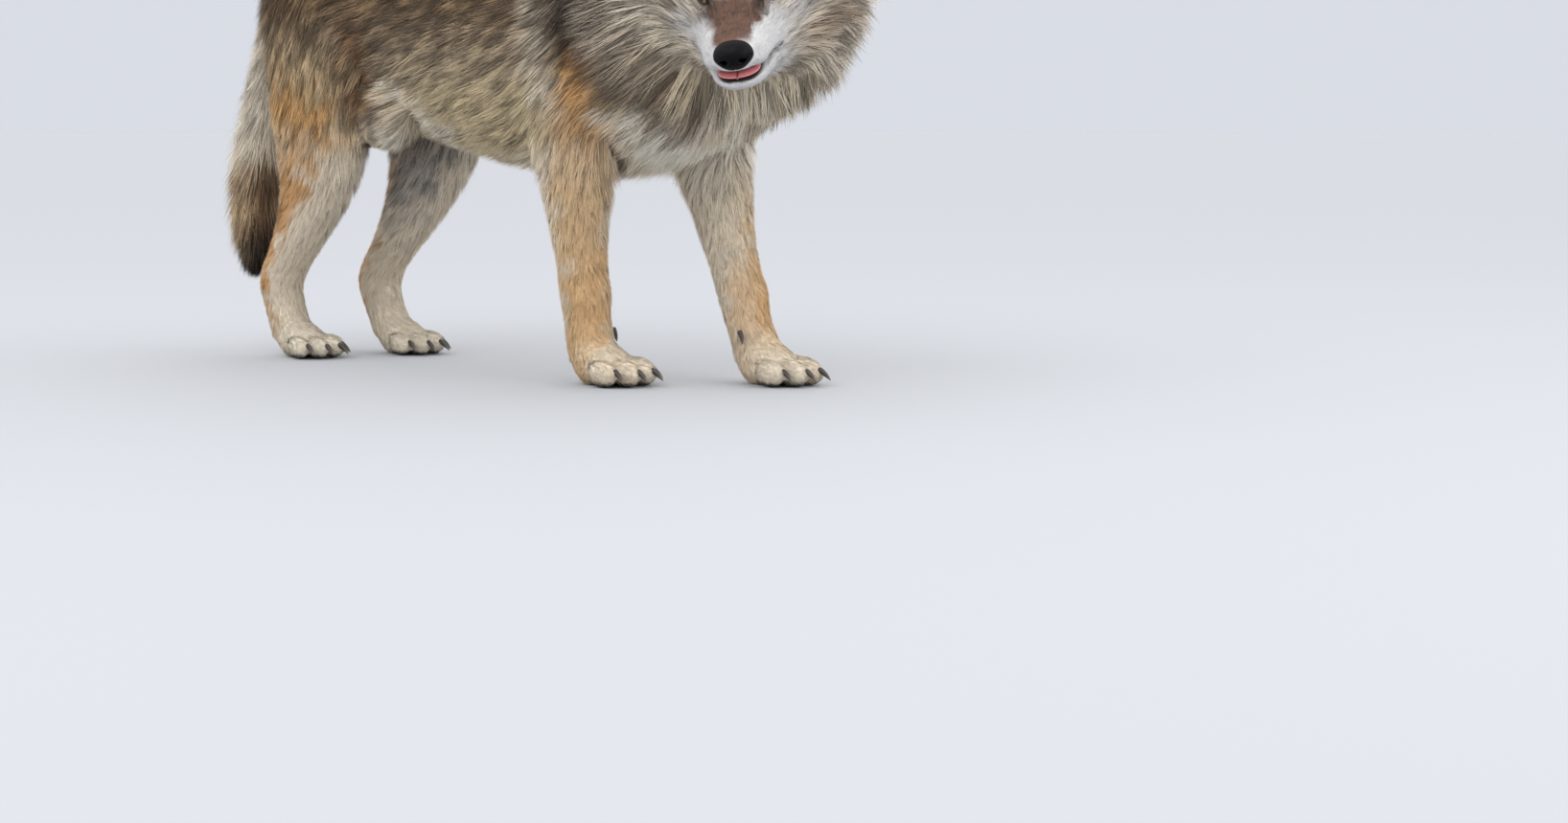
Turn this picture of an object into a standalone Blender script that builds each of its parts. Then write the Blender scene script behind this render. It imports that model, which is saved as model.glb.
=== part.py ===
"""A grey wolf in its winter coat, life size, standing with its head low and turned to its right.

The solids give the outline out to the tips of the coat. The body is lofted whole, melted into one
skin and then parted with thin cuts into the pieces that a person would name. Metres, +Z up, the
wolf faces +X, its left side is +Y and its soles are at Z = 0.
"""

import math

import bmesh
import bpy
import numpy as np
from mathutils import Matrix, Vector

# Driving sizes, in metres and degrees.
GAP = 0.0003
ORIGIN = Vector((-0.0441, -0.0295, 0.0))

BACK = 0.712
BELLY = 0.276
BODY_HALF_WIDTH = 0.158

HEAD_YAW = -54.0
HEAD_PITCH = 20.0
HEAD_ROLL = 8.0
NOSE_TIP = Vector((0.573, -0.230, 0.431))
RUFF_HALF_WIDTH = 0.175
EYE_RADIUS = 0.0120
NOSE_HALF_WIDTH = 0.0250
NOSE_HALF_HEIGHT = 0.0180
NOSE_DROP = 0.0080
NOSE_DEPTH = 0.022
MOUTH_DEPTH = 0.100
MOUTH_OPENING = 0.0095
EAR_HEIGHT = 0.102

PAW_CUT = 0.058
FORE_PAW_LENGTH = 0.130
HIND_PAW_LENGTH = 0.118
CLAW_LENGTH = 0.020
CLAW_RADIUS = 0.0042
CLAW_DROP = 0.22
DEW_CLAW_LENGTH = 0.016

# How far each foot stands forward of the body's middle, and out from its midline.
FORE_FOOT = {"right": 0.180, "left": 0.343}
HIND_FOOT = {"right": -0.452, "left": -0.386}
FORE_SPREAD = 0.075
HIND_SPREAD = 0.070
SIDES = {"right": -1.0, "left": 1.0}

# How finely the skin is melted, smoothed and thinned, and the sides of each lofted ring.
VOXEL = 0.0048
SMOOTHINGS = 7
COAT_TRIANGLES = 4650
RING_SIDES = 28


# Shared shape functions.
def smooth_rows(rows, steps):
    """Catmull-Rom through rows of numbers, with steps new rows in each interval."""
    rows = np.array(rows, dtype=float)
    ends = np.vstack([2 * rows[0] - rows[1], rows, 2 * rows[-1] - rows[-2]])
    t = (np.arange(steps) / steps)[:, None]
    spans = []
    for a, b, c, d in zip(ends, ends[1:], ends[2:], ends[3:]):
        cubic = 2 * b + (c - a) * t + (2 * a - 5 * b + 4 * c - d) * t**2
        spans.append(0.5 * (cubic + (3 * b - a - 3 * c + d) * t**3))
    return np.vstack(spans + [rows[-1:]])


def egg(half_width, low, wide, high, fullness=1.0):
    """Points (across, up) of an egg outline, widest at the height wide, from low to high."""
    turn = np.arange(RING_SIDES) * (2 * math.pi / RING_SIDES)
    c, s = np.cos(turn), np.sin(turn)
    across = half_width * np.sign(c) * np.abs(c) ** fullness
    reach = np.where(s > 0, high - wide, wide - low)
    return across, wide + reach * np.sign(s) * np.abs(s) ** fullness


def loft(name, rings):
    """A closed mesh object through rings of points, each end closed by one face."""
    shape = bmesh.new()
    rows = [[shape.verts.new(point) for point in ring] for ring in rings]
    for near, far in zip(rows, rows[1:]):
        for k in range(len(near)):
            shape.faces.new((near[k - 1], near[k], far[k], far[k - 1]))
    shape.faces.new(rows[0][::-1])
    shape.faces.new(rows[-1])
    return add_object(name, shape)


def add_object(name, shape):
    """Puts a bmesh into a new object, with its faces turned outwards."""
    bmesh.ops.recalc_face_normals(shape, faces=shape.faces)
    mesh = bpy.data.meshes.new(name)
    shape.to_mesh(mesh)
    shape.free()
    made = bpy.data.objects.new(name, mesh)
    bpy.context.scene.collection.objects.link(made)
    return made


def ellipsoid(name, radii, place, divisions=3):
    """An icosphere stretched to three radii and set by the matrix place."""
    shape = bmesh.new()
    stretch = Matrix.Diagonal((*radii, 1.0))
    bmesh.ops.create_icosphere(shape, subdivisions=divisions, radius=1.0, matrix=place @ stretch)
    return add_object(name, shape)


def settle(made):
    """Replaces an object's mesh with the one its modifiers give."""
    graph = bpy.context.evaluated_depsgraph_get()
    mesh = bpy.data.meshes.new_from_object(made.evaluated_get(graph))
    made.modifiers.clear()
    made.data = mesh
    return made


def carve(made, tool, operation="DIFFERENCE"):
    """Boolean of made with tool, applied at once."""
    cut = made.modifiers.new("cut", "BOOLEAN")
    cut.operation = operation
    cut.solver = "EXACT"
    cut.object = tool
    return settle(made)


def discard(*things):
    """Removes helper objects."""
    for thing in things:
        bpy.data.objects.remove(thing, do_unlink=True)


def keep_largest(made):
    """Drops every loose crumb of a mesh but the largest body, and welds slivers."""
    shape = bmesh.new()
    shape.from_mesh(made.data)
    bmesh.ops.remove_doubles(shape, verts=shape.verts, dist=0.00005)
    bmesh.ops.dissolve_degenerate(shape, edges=shape.edges, dist=0.00002)
    bmesh.ops.triangulate(shape, faces=shape.faces)
    unseen = set(shape.verts)
    bodies = []
    while unseen:
        front = [unseen.pop()]
        body = set(front)
        while front:
            for edge in front.pop().link_edges:
                for vert in edge.verts:
                    if vert in unseen:
                        unseen.discard(vert)
                        body.add(vert)
                        front.append(vert)
        bodies.append(body)
    largest = max(bodies, key=len)
    crumbs = [vert for body in bodies if body is not largest for vert in body]
    bmesh.ops.delete(shape, geom=crumbs, context="VERTS")
    shape.to_mesh(made.data)
    shape.free()
    return made


def slab(name, outline, back, front, place, grow=0.0):
    """A straight-sided block: a convex outline in Y and Z, run along X from back to front.

    Each edge of the outline, and both ends, move outwards by grow.
    """
    corners = np.array(outline, dtype=float)
    middle = corners.mean(axis=0)
    moved = []
    for before, here, after in zip(np.roll(corners, 1, 0), corners, np.roll(corners, -1, 0)):
        lines = []
        for start, end in ((before, here), (here, after)):
            normal = np.array([end[1] - start[1], start[0] - end[0]])
            normal /= np.linalg.norm(normal)
            normal *= np.sign(normal @ (start - middle))
            lines.append((normal, normal @ start + grow))
        moved.append(np.linalg.solve([n for n, _ in lines], [d for _, d in lines]))
    rings = [[place @ Vector((x, y, z)) for y, z in moved] for x in (back - grow, front + grow)]
    return loft(name, rings)


def part_off(whole, name, outline, back, front, place=Matrix.Identity(4)):
    """Takes what a slab holds from whole as a new object, with a thin gap left round it."""
    block = slab("block", outline, back, front, place)
    grown = slab("grown", outline, back, front, place, GAP)
    piece = whole.copy()
    piece.data = whole.data.copy()
    piece.name = name
    bpy.context.scene.collection.objects.link(piece)
    keep_largest(carve(piece, block, "INTERSECT"))
    keep_largest(carve(whole, grown))
    discard(block, grown)
    nodes[name] = piece
    return piece


def rectangle(y_low, z_low, y_high, z_high):
    """The outline of an upright rectangle in Y and Z."""
    return [(y_low, z_low), (y_high, z_low), (y_high, z_high), (y_low, z_high)]


def frame_at(place, forward, up=Vector((0, 0, 1))):
    """A matrix at place whose X axis runs forward and whose Z axis leans towards up."""
    x = Vector(forward).normalized()
    y = up.cross(x).normalized()
    z = x.cross(y)
    turn = Matrix((x, y, z)).transposed().to_4x4()
    return Matrix.Translation(place) @ turn


for old in list(bpy.data.objects):
    bpy.data.objects.remove(old, do_unlink=True)


# The trunk: upright egg-shaped rings from the rump to the chest.
# Each row is the place along X, then the low, widest and high levels and the half width.
def trunk_shape():
    rows = [
        (-0.508, 0.500, 0.550, 0.605, 0.040),
        (-0.494, 0.450, 0.545, 0.640, 0.078),
        (-0.460, 0.405, 0.535, 0.678, 0.108),
        (-0.405, 0.372, 0.525, 0.700, 0.127),
        (-0.330, 0.350, 0.515, BACK, 0.130),
        (-0.240, 0.330, 0.505, BACK + 0.002, 0.127),
        (-0.140, 0.304, 0.500, BACK, 0.135),
        (-0.040, BELLY + 0.007, 0.495, BACK + 0.002, 0.148),
        (0.060, BELLY - 0.008, 0.490, BACK + 0.010, BODY_HALF_WIDTH),
        (0.140, BELLY - 0.013, 0.485, BACK + 0.022, BODY_HALF_WIDTH + 0.002),
        (0.220, BELLY - 0.011, 0.475, BACK + 0.014, BODY_HALF_WIDTH - 0.002),
        (0.290, BELLY + 0.012, 0.470, BACK - 0.014, 0.148),
        (0.345, BELLY + 0.026, 0.460, BACK - 0.064, 0.130),
        (0.382, BELLY + 0.052, 0.450, 0.570, 0.096),
        (0.398, BELLY + 0.108, 0.450, 0.510, 0.045),
    ]
    rings = []
    for x, low, wide, high, half in smooth_rows(rows, 4):
        across, up = egg(half, low, wide, high, 0.88)
        rings.append([Vector((x, y, z)) for y, z in zip(across, up)])
    return loft("trunk_shape", rings)


# The head, in its own frame: X runs back from the nose tip, Y to the wolf's left, Z up.
def head_frame():
    yaw = Matrix.Rotation(math.radians(HEAD_YAW), 4, "Z")
    pitch = Matrix.Rotation(math.radians(HEAD_PITCH), 4, "Y")
    roll = Matrix.Rotation(math.radians(HEAD_ROLL), 4, "X")
    backwards = Matrix.Diagonal((-1.0, 1.0, 1.0, 1.0))
    return Matrix.Translation(NOSE_TIP) @ yaw @ pitch @ roll @ backwards


HEAD = head_frame()


def on_head(back, left, up):
    return HEAD @ Vector((back, left, up))


def head_shape():
    """Muzzle, stop, brow and cheek ruff as rings square to the head's axis."""
    ruff = RUFF_HALF_WIDTH
    rows = [
        (0.006, -0.028, -0.010, 0.002, 0.018),
        (0.010, -0.041, -0.012, 0.007, 0.025),
        (0.020, -0.050, -0.013, 0.012, 0.031),
        (0.032, -0.055, -0.016, 0.018, 0.040),
        (0.055, -0.058, -0.018, 0.024, 0.045),
        (0.080, -0.062, -0.018, 0.030, 0.050),
        (0.100, -0.069, -0.016, 0.038, 0.057),
        (0.118, -0.078, -0.012, 0.050, 0.064),
        (0.140, -0.090, -0.006, 0.071, 0.078),
        (0.168, -0.104, 0.000, 0.087, 0.104),
        (0.200, -0.120, 0.004, 0.093, 0.136),
        (0.232, -0.138, 0.002, 0.092, ruff),
        (0.265, -0.150, -0.004, 0.090, ruff + 0.003),
        (0.300, -0.152, -0.010, 0.088, ruff - 0.008),
    ]
    rings = []
    for back, low, wide, high, half in smooth_rows(rows, 4):
        across, up = egg(half, low, wide, high, 0.80 + min(back, 0.16))
        rings.append([on_head(back, y, z) for y, z in zip(across, up)])
    return loft("head_shape", rings)


def face_shapes():
    """Brow ridges and cheekbones, as ellipsoids on the head."""
    lumps = [
        ((0.143, 0.034, 0.054), (0.025, 0.024, 0.015)),
        ((0.172, 0.062, 0.018), (0.040, 0.027, 0.034)),
    ]
    shapes = []
    for (back, out, up), radii in lumps:
        for sign in SIDES.values():
            place = HEAD @ Matrix.Translation((back, sign * out, up))
            shapes.append(ellipsoid("lump", radii, place))
    return shapes


def ear_shape(side):
    """A rounded triangle of an ear, cupped forward and turned a little outward."""
    sign = SIDES[side]
    rows = [
        (-0.020, 0.046, 0.022),
        (0.012, 0.044, 0.020),
        (0.034, 0.039, 0.016),
        (0.056, 0.032, 0.012),
        (0.076, 0.023, 0.009),
        (0.092, 0.013, 0.006),
        (EAR_HEIGHT, 0.004, 0.003),
    ]
    rings = []
    for rise, half, thick in smooth_rows(rows, 3):
        turn = np.arange(RING_SIDES) * (2 * math.pi / RING_SIDES)
        out = sign * (0.066 + 0.16 * rise + half * np.cos(turn))
        back = 0.220 + 0.12 * rise + thick * np.sin(turn) - 6.0 * (half * np.cos(turn)) ** 2
        up = 0.078 + rise + 0 * turn
        rings.append([on_head(*point) for point in zip(back, out, up)])
    return loft("ear_shape", rings)


# The neck and mane, as rings square to a path from between the shoulders to the ruff.
def neck_shape():
    rows = [
        (0.180, 0.000, 0.545, 0.138, 0.145, 0.175),
        (0.245, 0.002, 0.545, 0.146, 0.145, 0.202),
        (0.305, 0.008, 0.540, 0.156, 0.142, 0.212),
        (0.360, 0.010, 0.530, 0.165, 0.130, 0.210),
        (0.405, -0.004, 0.520, 0.168, 0.114, 0.196),
        (0.445, -0.032, 0.510, 0.165, 0.098, 0.176),
    ]
    path = smooth_rows(rows, 4)
    middles = path[:, :3]
    ways = np.gradient(middles, axis=0)
    rings = []
    for (x, y, z, half, high, low), way in zip(path, ways):
        place = frame_at(Vector((x, y, z)), Vector(way))
        across, up = egg(half, -low, 0.0, high, 0.95)
        rings.append([place @ Vector((0.0, a, u)) for a, u in zip(across, up)])
    return loft("neck_shape", rings)


# Legs: level rings down a leg. Each row is the place along X from the foot, the level, how far
# out from the foot's line, the half length fore and aft and the half width across.
def leg_shape(name, foot, spread, sign, rows):
    rings = []
    for x, z, out, length, width in smooth_rows(rows, 4):
        across, along = egg(width, -length, 0.0, length, 0.97)
        y = sign * (spread + out)
        rings.append([Vector((foot + x + a, y + b, z)) for b, a in zip(across, along)])
    return loft(name, rings)


def foreleg_shape(side):
    """Shoulder, forearm, knee and pastern. The left leg reaches forward from the shoulder."""
    foot = FORE_FOOT[side]
    lean = FORE_FOOT["right"] - foot
    rows = [
        (0.050 + lean, 0.600, 0.010, 0.060, 0.040),
        (0.036 + 0.92 * lean, 0.520, 0.020, 0.094, 0.052),
        (0.014 + 0.78 * lean, 0.440, 0.022, 0.098, 0.056),
        (-0.012 + 0.60 * lean, 0.365, 0.016, 0.084, 0.054),
        (-0.017 + 0.44 * lean, 0.300, 0.010, 0.065, 0.048),
        (-0.018 + 0.31 * lean, 0.245, 0.006, 0.052, 0.042),
        (-0.016 + 0.22 * lean, 0.190, 0.003, 0.042, 0.037),
        (-0.012 + 0.15 * lean, 0.150, 0.002, 0.038, 0.034),
        (-0.007 + 0.11 * lean, 0.120, 0.002, 0.039, 0.035),
        (-0.006 + 0.06 * lean, 0.088, 0.000, 0.034, 0.033),
        (0.000, 0.055, 0.000, 0.035, 0.034),
        (0.006, 0.024, 0.000, 0.034, 0.033),
    ]
    return leg_shape("foreleg_shape", foot, FORE_SPREAD, SIDES[side], rows)


def hindleg_shape(side):
    """Thigh, gaskin, hock and rear pastern. The left foot stands a little further forward."""
    foot = HIND_FOOT[side]
    lean = HIND_FOOT["right"] - foot
    rows = [
        (0.056 + lean, 0.620, 0.004, 0.072, 0.046),
        (0.068 + 0.9 * lean, 0.550, 0.014, 0.100, 0.056),
        (0.086 + 0.7 * lean, 0.475, 0.020, 0.114, 0.060),
        (0.100 + 0.4 * lean, 0.400, 0.020, 0.112, 0.057),
        (0.098 + 0.2 * lean, 0.330, 0.016, 0.102, 0.052),
        (0.082 + 0.15 * lean, 0.265, 0.010, 0.082, 0.044),
        (0.046 + 0.14 * lean, 0.205, 0.006, 0.060, 0.038),
        (0.012 + 0.16 * lean, 0.160, 0.004, 0.047, 0.034),
        (-0.012 + 0.18 * lean, 0.130, 0.003, 0.042, 0.032),
        (-0.023 + 0.15 * lean, 0.102, 0.002, 0.037, 0.031),
        (-0.016 + 0.07 * lean, 0.072, 0.000, 0.033, 0.031),
        (-0.006, 0.045, 0.000, 0.034, 0.031),
        (0.002, 0.022, 0.000, 0.032, 0.031),
    ]
    return leg_shape("hindleg_shape", foot, HIND_SPREAD, SIDES[side], rows)


# Paws: four toes in an arc over the sole. Places are shares of the paw's length.
TOES = [(0.43, -0.27), (0.60, -0.105), (0.60, 0.105), (0.43, 0.27)]


def paw_shapes(foot, spread, sign, length):
    """The toes, the sole and the bridge up to the pastern, as overlapping ellipsoids."""
    shapes = []
    centre = Vector((foot, sign * spread, 0.0))
    for ahead, beside in TOES:
        middle = centre + Vector((ahead * length, beside * length, 0.150 * length))
        radii = (0.225 * length, 0.118 * length, 0.155 * length)
        splay = Matrix.Rotation(beside * 0.6, 4, "Z") @ Matrix.Rotation(0.16, 4, "Y")
        shapes.append(ellipsoid("toe", radii, Matrix.Translation(middle) @ splay))
    sole = centre + Vector((0.20 * length, 0.0, 0.165 * length))
    radii = (0.36 * length, 0.285 * length, 0.20 * length)
    shapes.append(ellipsoid("sole", radii, Matrix.Translation(sole)))
    instep = centre + Vector((0.16 * length, 0.0, 0.27 * length))
    radii = (0.34 * length, 0.25 * length, 0.20 * length)
    tilt = Matrix.Rotation(0.35, 4, "Y")
    shapes.append(ellipsoid("instep", radii, Matrix.Translation(instep) @ tilt))
    return shapes


# Claws: short curved cones, four to a paw at the toe tips and a dew claw inside each foreleg.
CLAW_BASE = 0.19
CLAW_SIDES = 5
DEW_LEVEL = 0.076


def claw_places(foot, spread, sign, length):
    """Where each claw leaves its toe, with the way that it points."""
    centre = Vector((foot, sign * spread, 0.0))
    places = []
    for ahead, beside in TOES:
        root = centre + Vector(((ahead + CLAW_BASE) * length, beside * length, 0.165 * length))
        places.append((root, Vector((1.0, beside * 0.6, -0.42))))
    return places


def claw_shape(name, root, way, length=CLAW_LENGTH, grow=0.0):
    """A cone that bends down towards its tip, thicker all round by grow."""
    place = frame_at(root, way)
    rings = []
    for share, width in ((0.0, 1.0), (0.55, 0.72), (1.0, 0.14)):
        turn = np.arange(CLAW_SIDES) * (2 * math.pi / CLAW_SIDES)
        radius = CLAW_RADIUS * width + grow
        x = (share - 0.02 * (grow > 0) * (share == 0)) * length
        drop = -CLAW_DROP * length * share**2
        ys, zs = 0.8 * radius * np.cos(turn), radius * np.sin(turn) + drop
        rings.append([place @ Vector((x, y, z)) for y, z in zip(ys, zs)])
    return loft(name, rings)


def dew_bump(side):
    foot, sign = FORE_FOOT[side], SIDES[side]
    middle = Vector((foot + 0.002, sign * (FORE_SPREAD - 0.033), DEW_LEVEL + 0.003))
    return ellipsoid("dew_bump", (0.013, 0.009, 0.016), Matrix.Translation(middle))


def dew_claw_place(side):
    foot, sign = FORE_FOOT[side], SIDES[side]
    root = Vector((foot + 0.006, sign * (FORE_SPREAD - 0.038), DEW_LEVEL - 0.006))
    return root, Vector((0.50, -sign * 0.08, -0.85))


# The tail hangs behind the thighs and swells to a brush. Rows: place, then radius.
def tail_shape():
    rows = [
        (-0.430, 0.000, 0.648, 0.030),
        (-0.478, 0.000, 0.622, 0.038),
        (-0.522, 0.000, 0.572, 0.043),
        (-0.555, -0.002, 0.495, 0.047),
        (-0.584, -0.005, 0.400, 0.054),
        (-0.606, -0.010, 0.310, 0.064),
        (-0.612, -0.014, 0.235, 0.060),
        (-0.610, -0.018, 0.165, 0.039),
        (-0.607, -0.020, 0.112, 0.010),
    ]
    path = smooth_rows(rows, 4)
    ways = np.gradient(path[:, :3], axis=0)
    rings = []
    for (x, y, z, radius), way in zip(path, ways):
        place = frame_at(Vector((x, y, z)), Vector(way), Vector((0, 1, 0)))
        across, up = egg(radius * 1.04, -radius * 0.94, 0.0, radius * 0.94)
        rings.append([place @ Vector((0.0, a, u)) for a, u in zip(across, up)])
    return loft("tail_shape", rings)


def melt(shapes):
    """Joins closed shapes into one smooth skin, then thins its triangles."""
    shape = bmesh.new()
    for piece in shapes:
        shape.from_mesh(piece.data)
    discard(*shapes)
    coat = add_object("coat", shape)
    remesh = coat.modifiers.new("melt", "REMESH")
    remesh.mode = "VOXEL"
    remesh.voxel_size = VOXEL
    settle(coat)
    soften = coat.modifiers.new("soften", "SMOOTH")
    soften.factor = 0.5
    soften.iterations = SMOOTHINGS
    settle(coat)
    thin = coat.modifiers.new("thin", "DECIMATE")
    thin.ratio = COAT_TRIANGLES / (2 * len(coat.data.polygons))
    settle(coat)
    return keep_largest(coat)


shapes = [trunk_shape(), neck_shape(), head_shape(), tail_shape(), *face_shapes()]
for side, sign in SIDES.items():
    shapes += [ear_shape(side), foreleg_shape(side), hindleg_shape(side), dew_bump(side)]
    shapes += paw_shapes(FORE_FOOT[side], FORE_SPREAD, sign, FORE_PAW_LENGTH)
    shapes += paw_shapes(HIND_FOOT[side], HIND_SPREAD, sign, HIND_PAW_LENGTH)
coat = melt(shapes)

# The soles are flat and level.
ground = slab("ground", rectangle(-1, -1, 1, 0), -1, 1, Matrix.Identity(4))
keep_largest(carve(coat, ground))
discard(ground)

nodes = {}
SIDEWAYS = Matrix(((0, 1, 0, 0), (1, 0, 0, 0), (0, 0, 1, 0), (0, 0, 0, 1)))

# Head from neck: a block in the head's frame that ends behind the ruff.
HEAD_BLOCK_BACK = 0.262
head = part_off(coat, "head", rectangle(-0.26, -0.19, 0.26, 0.26), -0.06, HEAD_BLOCK_BACK, HEAD)

# Each ear above its root.
EAR_CUT = 0.090
for side, sign in SIDES.items():
    near, far = sorted((sign * 0.008, sign * 0.16))
    part_off(head, "ear_" + side, rectangle(near, EAR_CUT, far, 0.25), 0.165, 0.27, HEAD)

# The jaw below the lips, whose line climbs a little towards the corner of the mouth. The mouth
# stands open by a wedge that closes there, and the tongue lies in it.
LIP_FRONT = -0.0415
LIP_CLIMB = math.radians(8.0)
CHIN_LEVEL = -0.12
MOUTH = HEAD @ Matrix.Translation((0.0, 0.0, LIP_FRONT)) @ Matrix.Rotation(-LIP_CLIMB, 4, "Y")
jaw = part_off(head, "jaw", rectangle(-0.1, CHIN_LEVEL, 0.1, 0.0), -0.05, MOUTH_DEPTH, MOUTH)
open_front = [(-0.05, 0.0), (0.80 * MOUTH_DEPTH, 0.0), (-0.05, 2.2 * MOUTH_OPENING)]
wedge = slab("wedge", open_front, -0.1, 0.1, MOUTH @ SIDEWAYS)
keep_largest(carve(head, wedge))
discard(wedge)

TONGUE_RADII = Vector((0.030, 0.0265, 0.0036))
TONGUE_MIDDLE = Vector((0.044, 0.0, 0.0036))
tongue_place = MOUTH @ Matrix.Translation(TONGUE_MIDDLE)
clear = ellipsoid("clear", TONGUE_RADII + Vector((GAP, GAP, GAP)) * 2, tongue_place, 2)
keep_largest(carve(head, clear))
keep_largest(carve(jaw, clear))
discard(clear)
nodes["tongue"] = ellipsoid("tongue", TONGUE_RADII, tongue_place, 2)

# The nose pad is a dome on the flat that is cut at the front of the muzzle.
nose_place = HEAD @ Matrix.Translation((NOSE_DEPTH, 0.0, -NOSE_DROP))
nose_radii = (NOSE_DEPTH, NOSE_HALF_WIDTH, NOSE_HALF_HEIGHT)
nose = ellipsoid("nose", nose_radii, nose_place, 3)
behind = slab("behind", rectangle(-0.1, -0.1, 0.1, 0.1), NOSE_DEPTH - GAP, 0.1, HEAD)
nodes["nose"] = keep_largest(carve(nose, behind))
discard(behind)
nose_foot = -NOSE_DROP - NOSE_HALF_HEIGHT
seat = slab("seat", rectangle(-0.05, nose_foot, 0.05, 0.05), -0.05, NOSE_DEPTH, HEAD)
keep_largest(carve(head, seat))
discard(seat)

# Each eye is a ball in a socket, showing a little between the brow and the cheek.
EYE_MIDDLE = Vector((0.1250, 0.0355, 0.0350))
for side, sign in SIDES.items():
    middle = Matrix.Translation(HEAD @ Vector((EYE_MIDDLE.x, sign * EYE_MIDDLE.y, EYE_MIDDLE.z)))
    socket = ellipsoid("socket", [EYE_RADIUS + GAP] * 3, middle, 2)
    keep_largest(carve(head, socket))
    discard(socket)
    nodes["eye_" + side] = ellipsoid("eye_" + side, [EYE_RADIUS - GAP] * 3, middle, 2)

# Neck from trunk: a leaning plane from the withers to the foot of the chest.
WITHERS = Vector((0.185, 0.0, 0.740))
CHEST_FOOT = Vector((0.340, 0.0, 0.318))
chest_up = (WITHERS - CHEST_FOOT).normalized()
neck_place = frame_at(CHEST_FOOT, Vector((0, 1, 0)).cross(chest_up), chest_up)
part_off(coat, "neck", rectangle(-0.3, -0.05, 0.3, 0.6), 0.0, 0.4, neck_place)

# Tail from rump: a block whose front follows the buttocks, in side view.
tail_front = [(-0.74, 0.08), (-0.537, 0.08), (-0.505, 0.40), (-0.514, 0.70), (-0.74, 0.70)]
part_off(coat, "tail", tail_front, -0.12, 0.12, SIDEWAYS)

# Each leg: from the floor up to a plane that rises outwards through the shoulder or the hip.
FORE_INNER = 0.318
FORE_RISE = math.radians(42)
HIND_INNER = 0.345
HIND_RISE = math.radians(58)
BESIDE = 0.3
FORE_CUTS = (0.055, 0.330)
HIND_CUTS = (-0.600, -0.215)


def part_leg(name, side, inner, rise, back, front):
    """Parts a leg from the body between two planes across it, under the rising plane."""
    sign = SIDES[side]
    outer = inner + BESIDE * math.tan(rise)
    outline = [(0.0, -0.1), (sign * BESIDE, -0.1), (sign * BESIDE, outer), (0.0, inner)]
    return part_off(coat, name, outline, back, front)


for side, sign in SIDES.items():
    shift = FORE_FOOT[side] - FORE_FOOT["right"]
    back, front = FORE_CUTS[0] + 0.3 * shift, FORE_CUTS[1] + 1.2 * shift
    leg = part_leg("foreleg_" + side, side, FORE_INNER, FORE_RISE, back, front)
    near, far = sorted((0.0, sign * BESIDE))
    paw = rectangle(near, -0.1, far, PAW_CUT)
    part_off(leg, "paw_fore_" + side, paw, 0.0, 0.6)
    leg = part_leg("hindleg_" + side, side, HIND_INNER, HIND_RISE, *HIND_CUTS)
    part_off(leg, "paw_hind_" + side, paw, -0.6, 0.0)


def add_claws(owner, names, places, length=CLAW_LENGTH):
    """Sets claws into owner, which is cut back from each by the gap."""
    for name, (root, way) in zip(names, places):
        tool = claw_shape("tool", root, way, length, 2 * GAP)
        carve(owner, tool)
        discard(tool)
        nodes[name] = claw_shape(name, root, way, length)
    keep_largest(owner)


for side, sign in SIDES.items():
    for end, foot, spread, length in (
        ("fore", FORE_FOOT[side], FORE_SPREAD, FORE_PAW_LENGTH),
        ("hind", HIND_FOOT[side], HIND_SPREAD, HIND_PAW_LENGTH),
    ):
        names = [f"claw_{end}_{side}_{k + 1}" for k in range(len(TOES))]
        places = claw_places(foot, spread, sign, length)
        add_claws(nodes[f"paw_{end}_{side}"], names, places)
    dew = [dew_claw_place(side)]
    add_claws(nodes["foreleg_" + side], ["claw_dew_" + side], dew, DEW_CLAW_LENGTH)
nodes["trunk"] = coat
coat.name = "trunk"

# Finishes: colour, roughness and metallic of each kind of piece, by the start of its name.
FINISHES = {
    "head": ((0.42, 0.31, 0.21), 0.85),
    "ear": ((0.30, 0.22, 0.15), 0.85),
    "jaw": ((0.74, 0.70, 0.64), 0.85),
    "neck": ((0.38, 0.33, 0.27), 0.90),
    "trunk": ((0.33, 0.28, 0.21), 0.90),
    "tail": ((0.24, 0.19, 0.14), 0.90),
    "foreleg": ((0.58, 0.44, 0.29), 0.85),
    "hindleg": ((0.52, 0.42, 0.30), 0.85),
    "paw": ((0.62, 0.54, 0.43), 0.85),
    "nose": ((0.012, 0.011, 0.011), 0.35),
    "tongue": ((0.62, 0.20, 0.18), 0.35),
    "eye": ((0.45, 0.24, 0.06), 0.10),
    "claw": ((0.07, 0.05, 0.04), 0.45),
}


def finish_for(name):
    """A Principled material of the piece's own, with the finish of its kind."""
    colour, roughness = FINISHES[name.split("_")[0]]
    material = bpy.data.materials.new(name)
    material.use_nodes = True
    material.diffuse_color = (*colour, 1.0)
    shader = material.node_tree.nodes["Principled BSDF"]
    shader.inputs["Base Color"].default_value = (*colour, 1.0)
    shader.inputs["Roughness"].default_value = roughness
    shader.inputs["Metallic"].default_value = 0.0
    return material


# The whole is moved so that the origin is on the floor under its middle.
SMOOTH_BELOW = math.radians(40)
for name, node in nodes.items():
    node.data.transform(Matrix.Translation(-ORIGIN))
    node.data.materials.clear()
    node.data.materials.append(finish_for(name))
    node.data.shade_smooth()
    node.data.set_sharp_from_angle(angle=SMOOTH_BELOW)
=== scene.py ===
"""A grey wolf in its winter coat, life size: its skin, eyes, nose, tongue, claws and every tuft."""

import bmesh
import bpy
import numpy as np
from mathutils import Matrix, Vector


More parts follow.
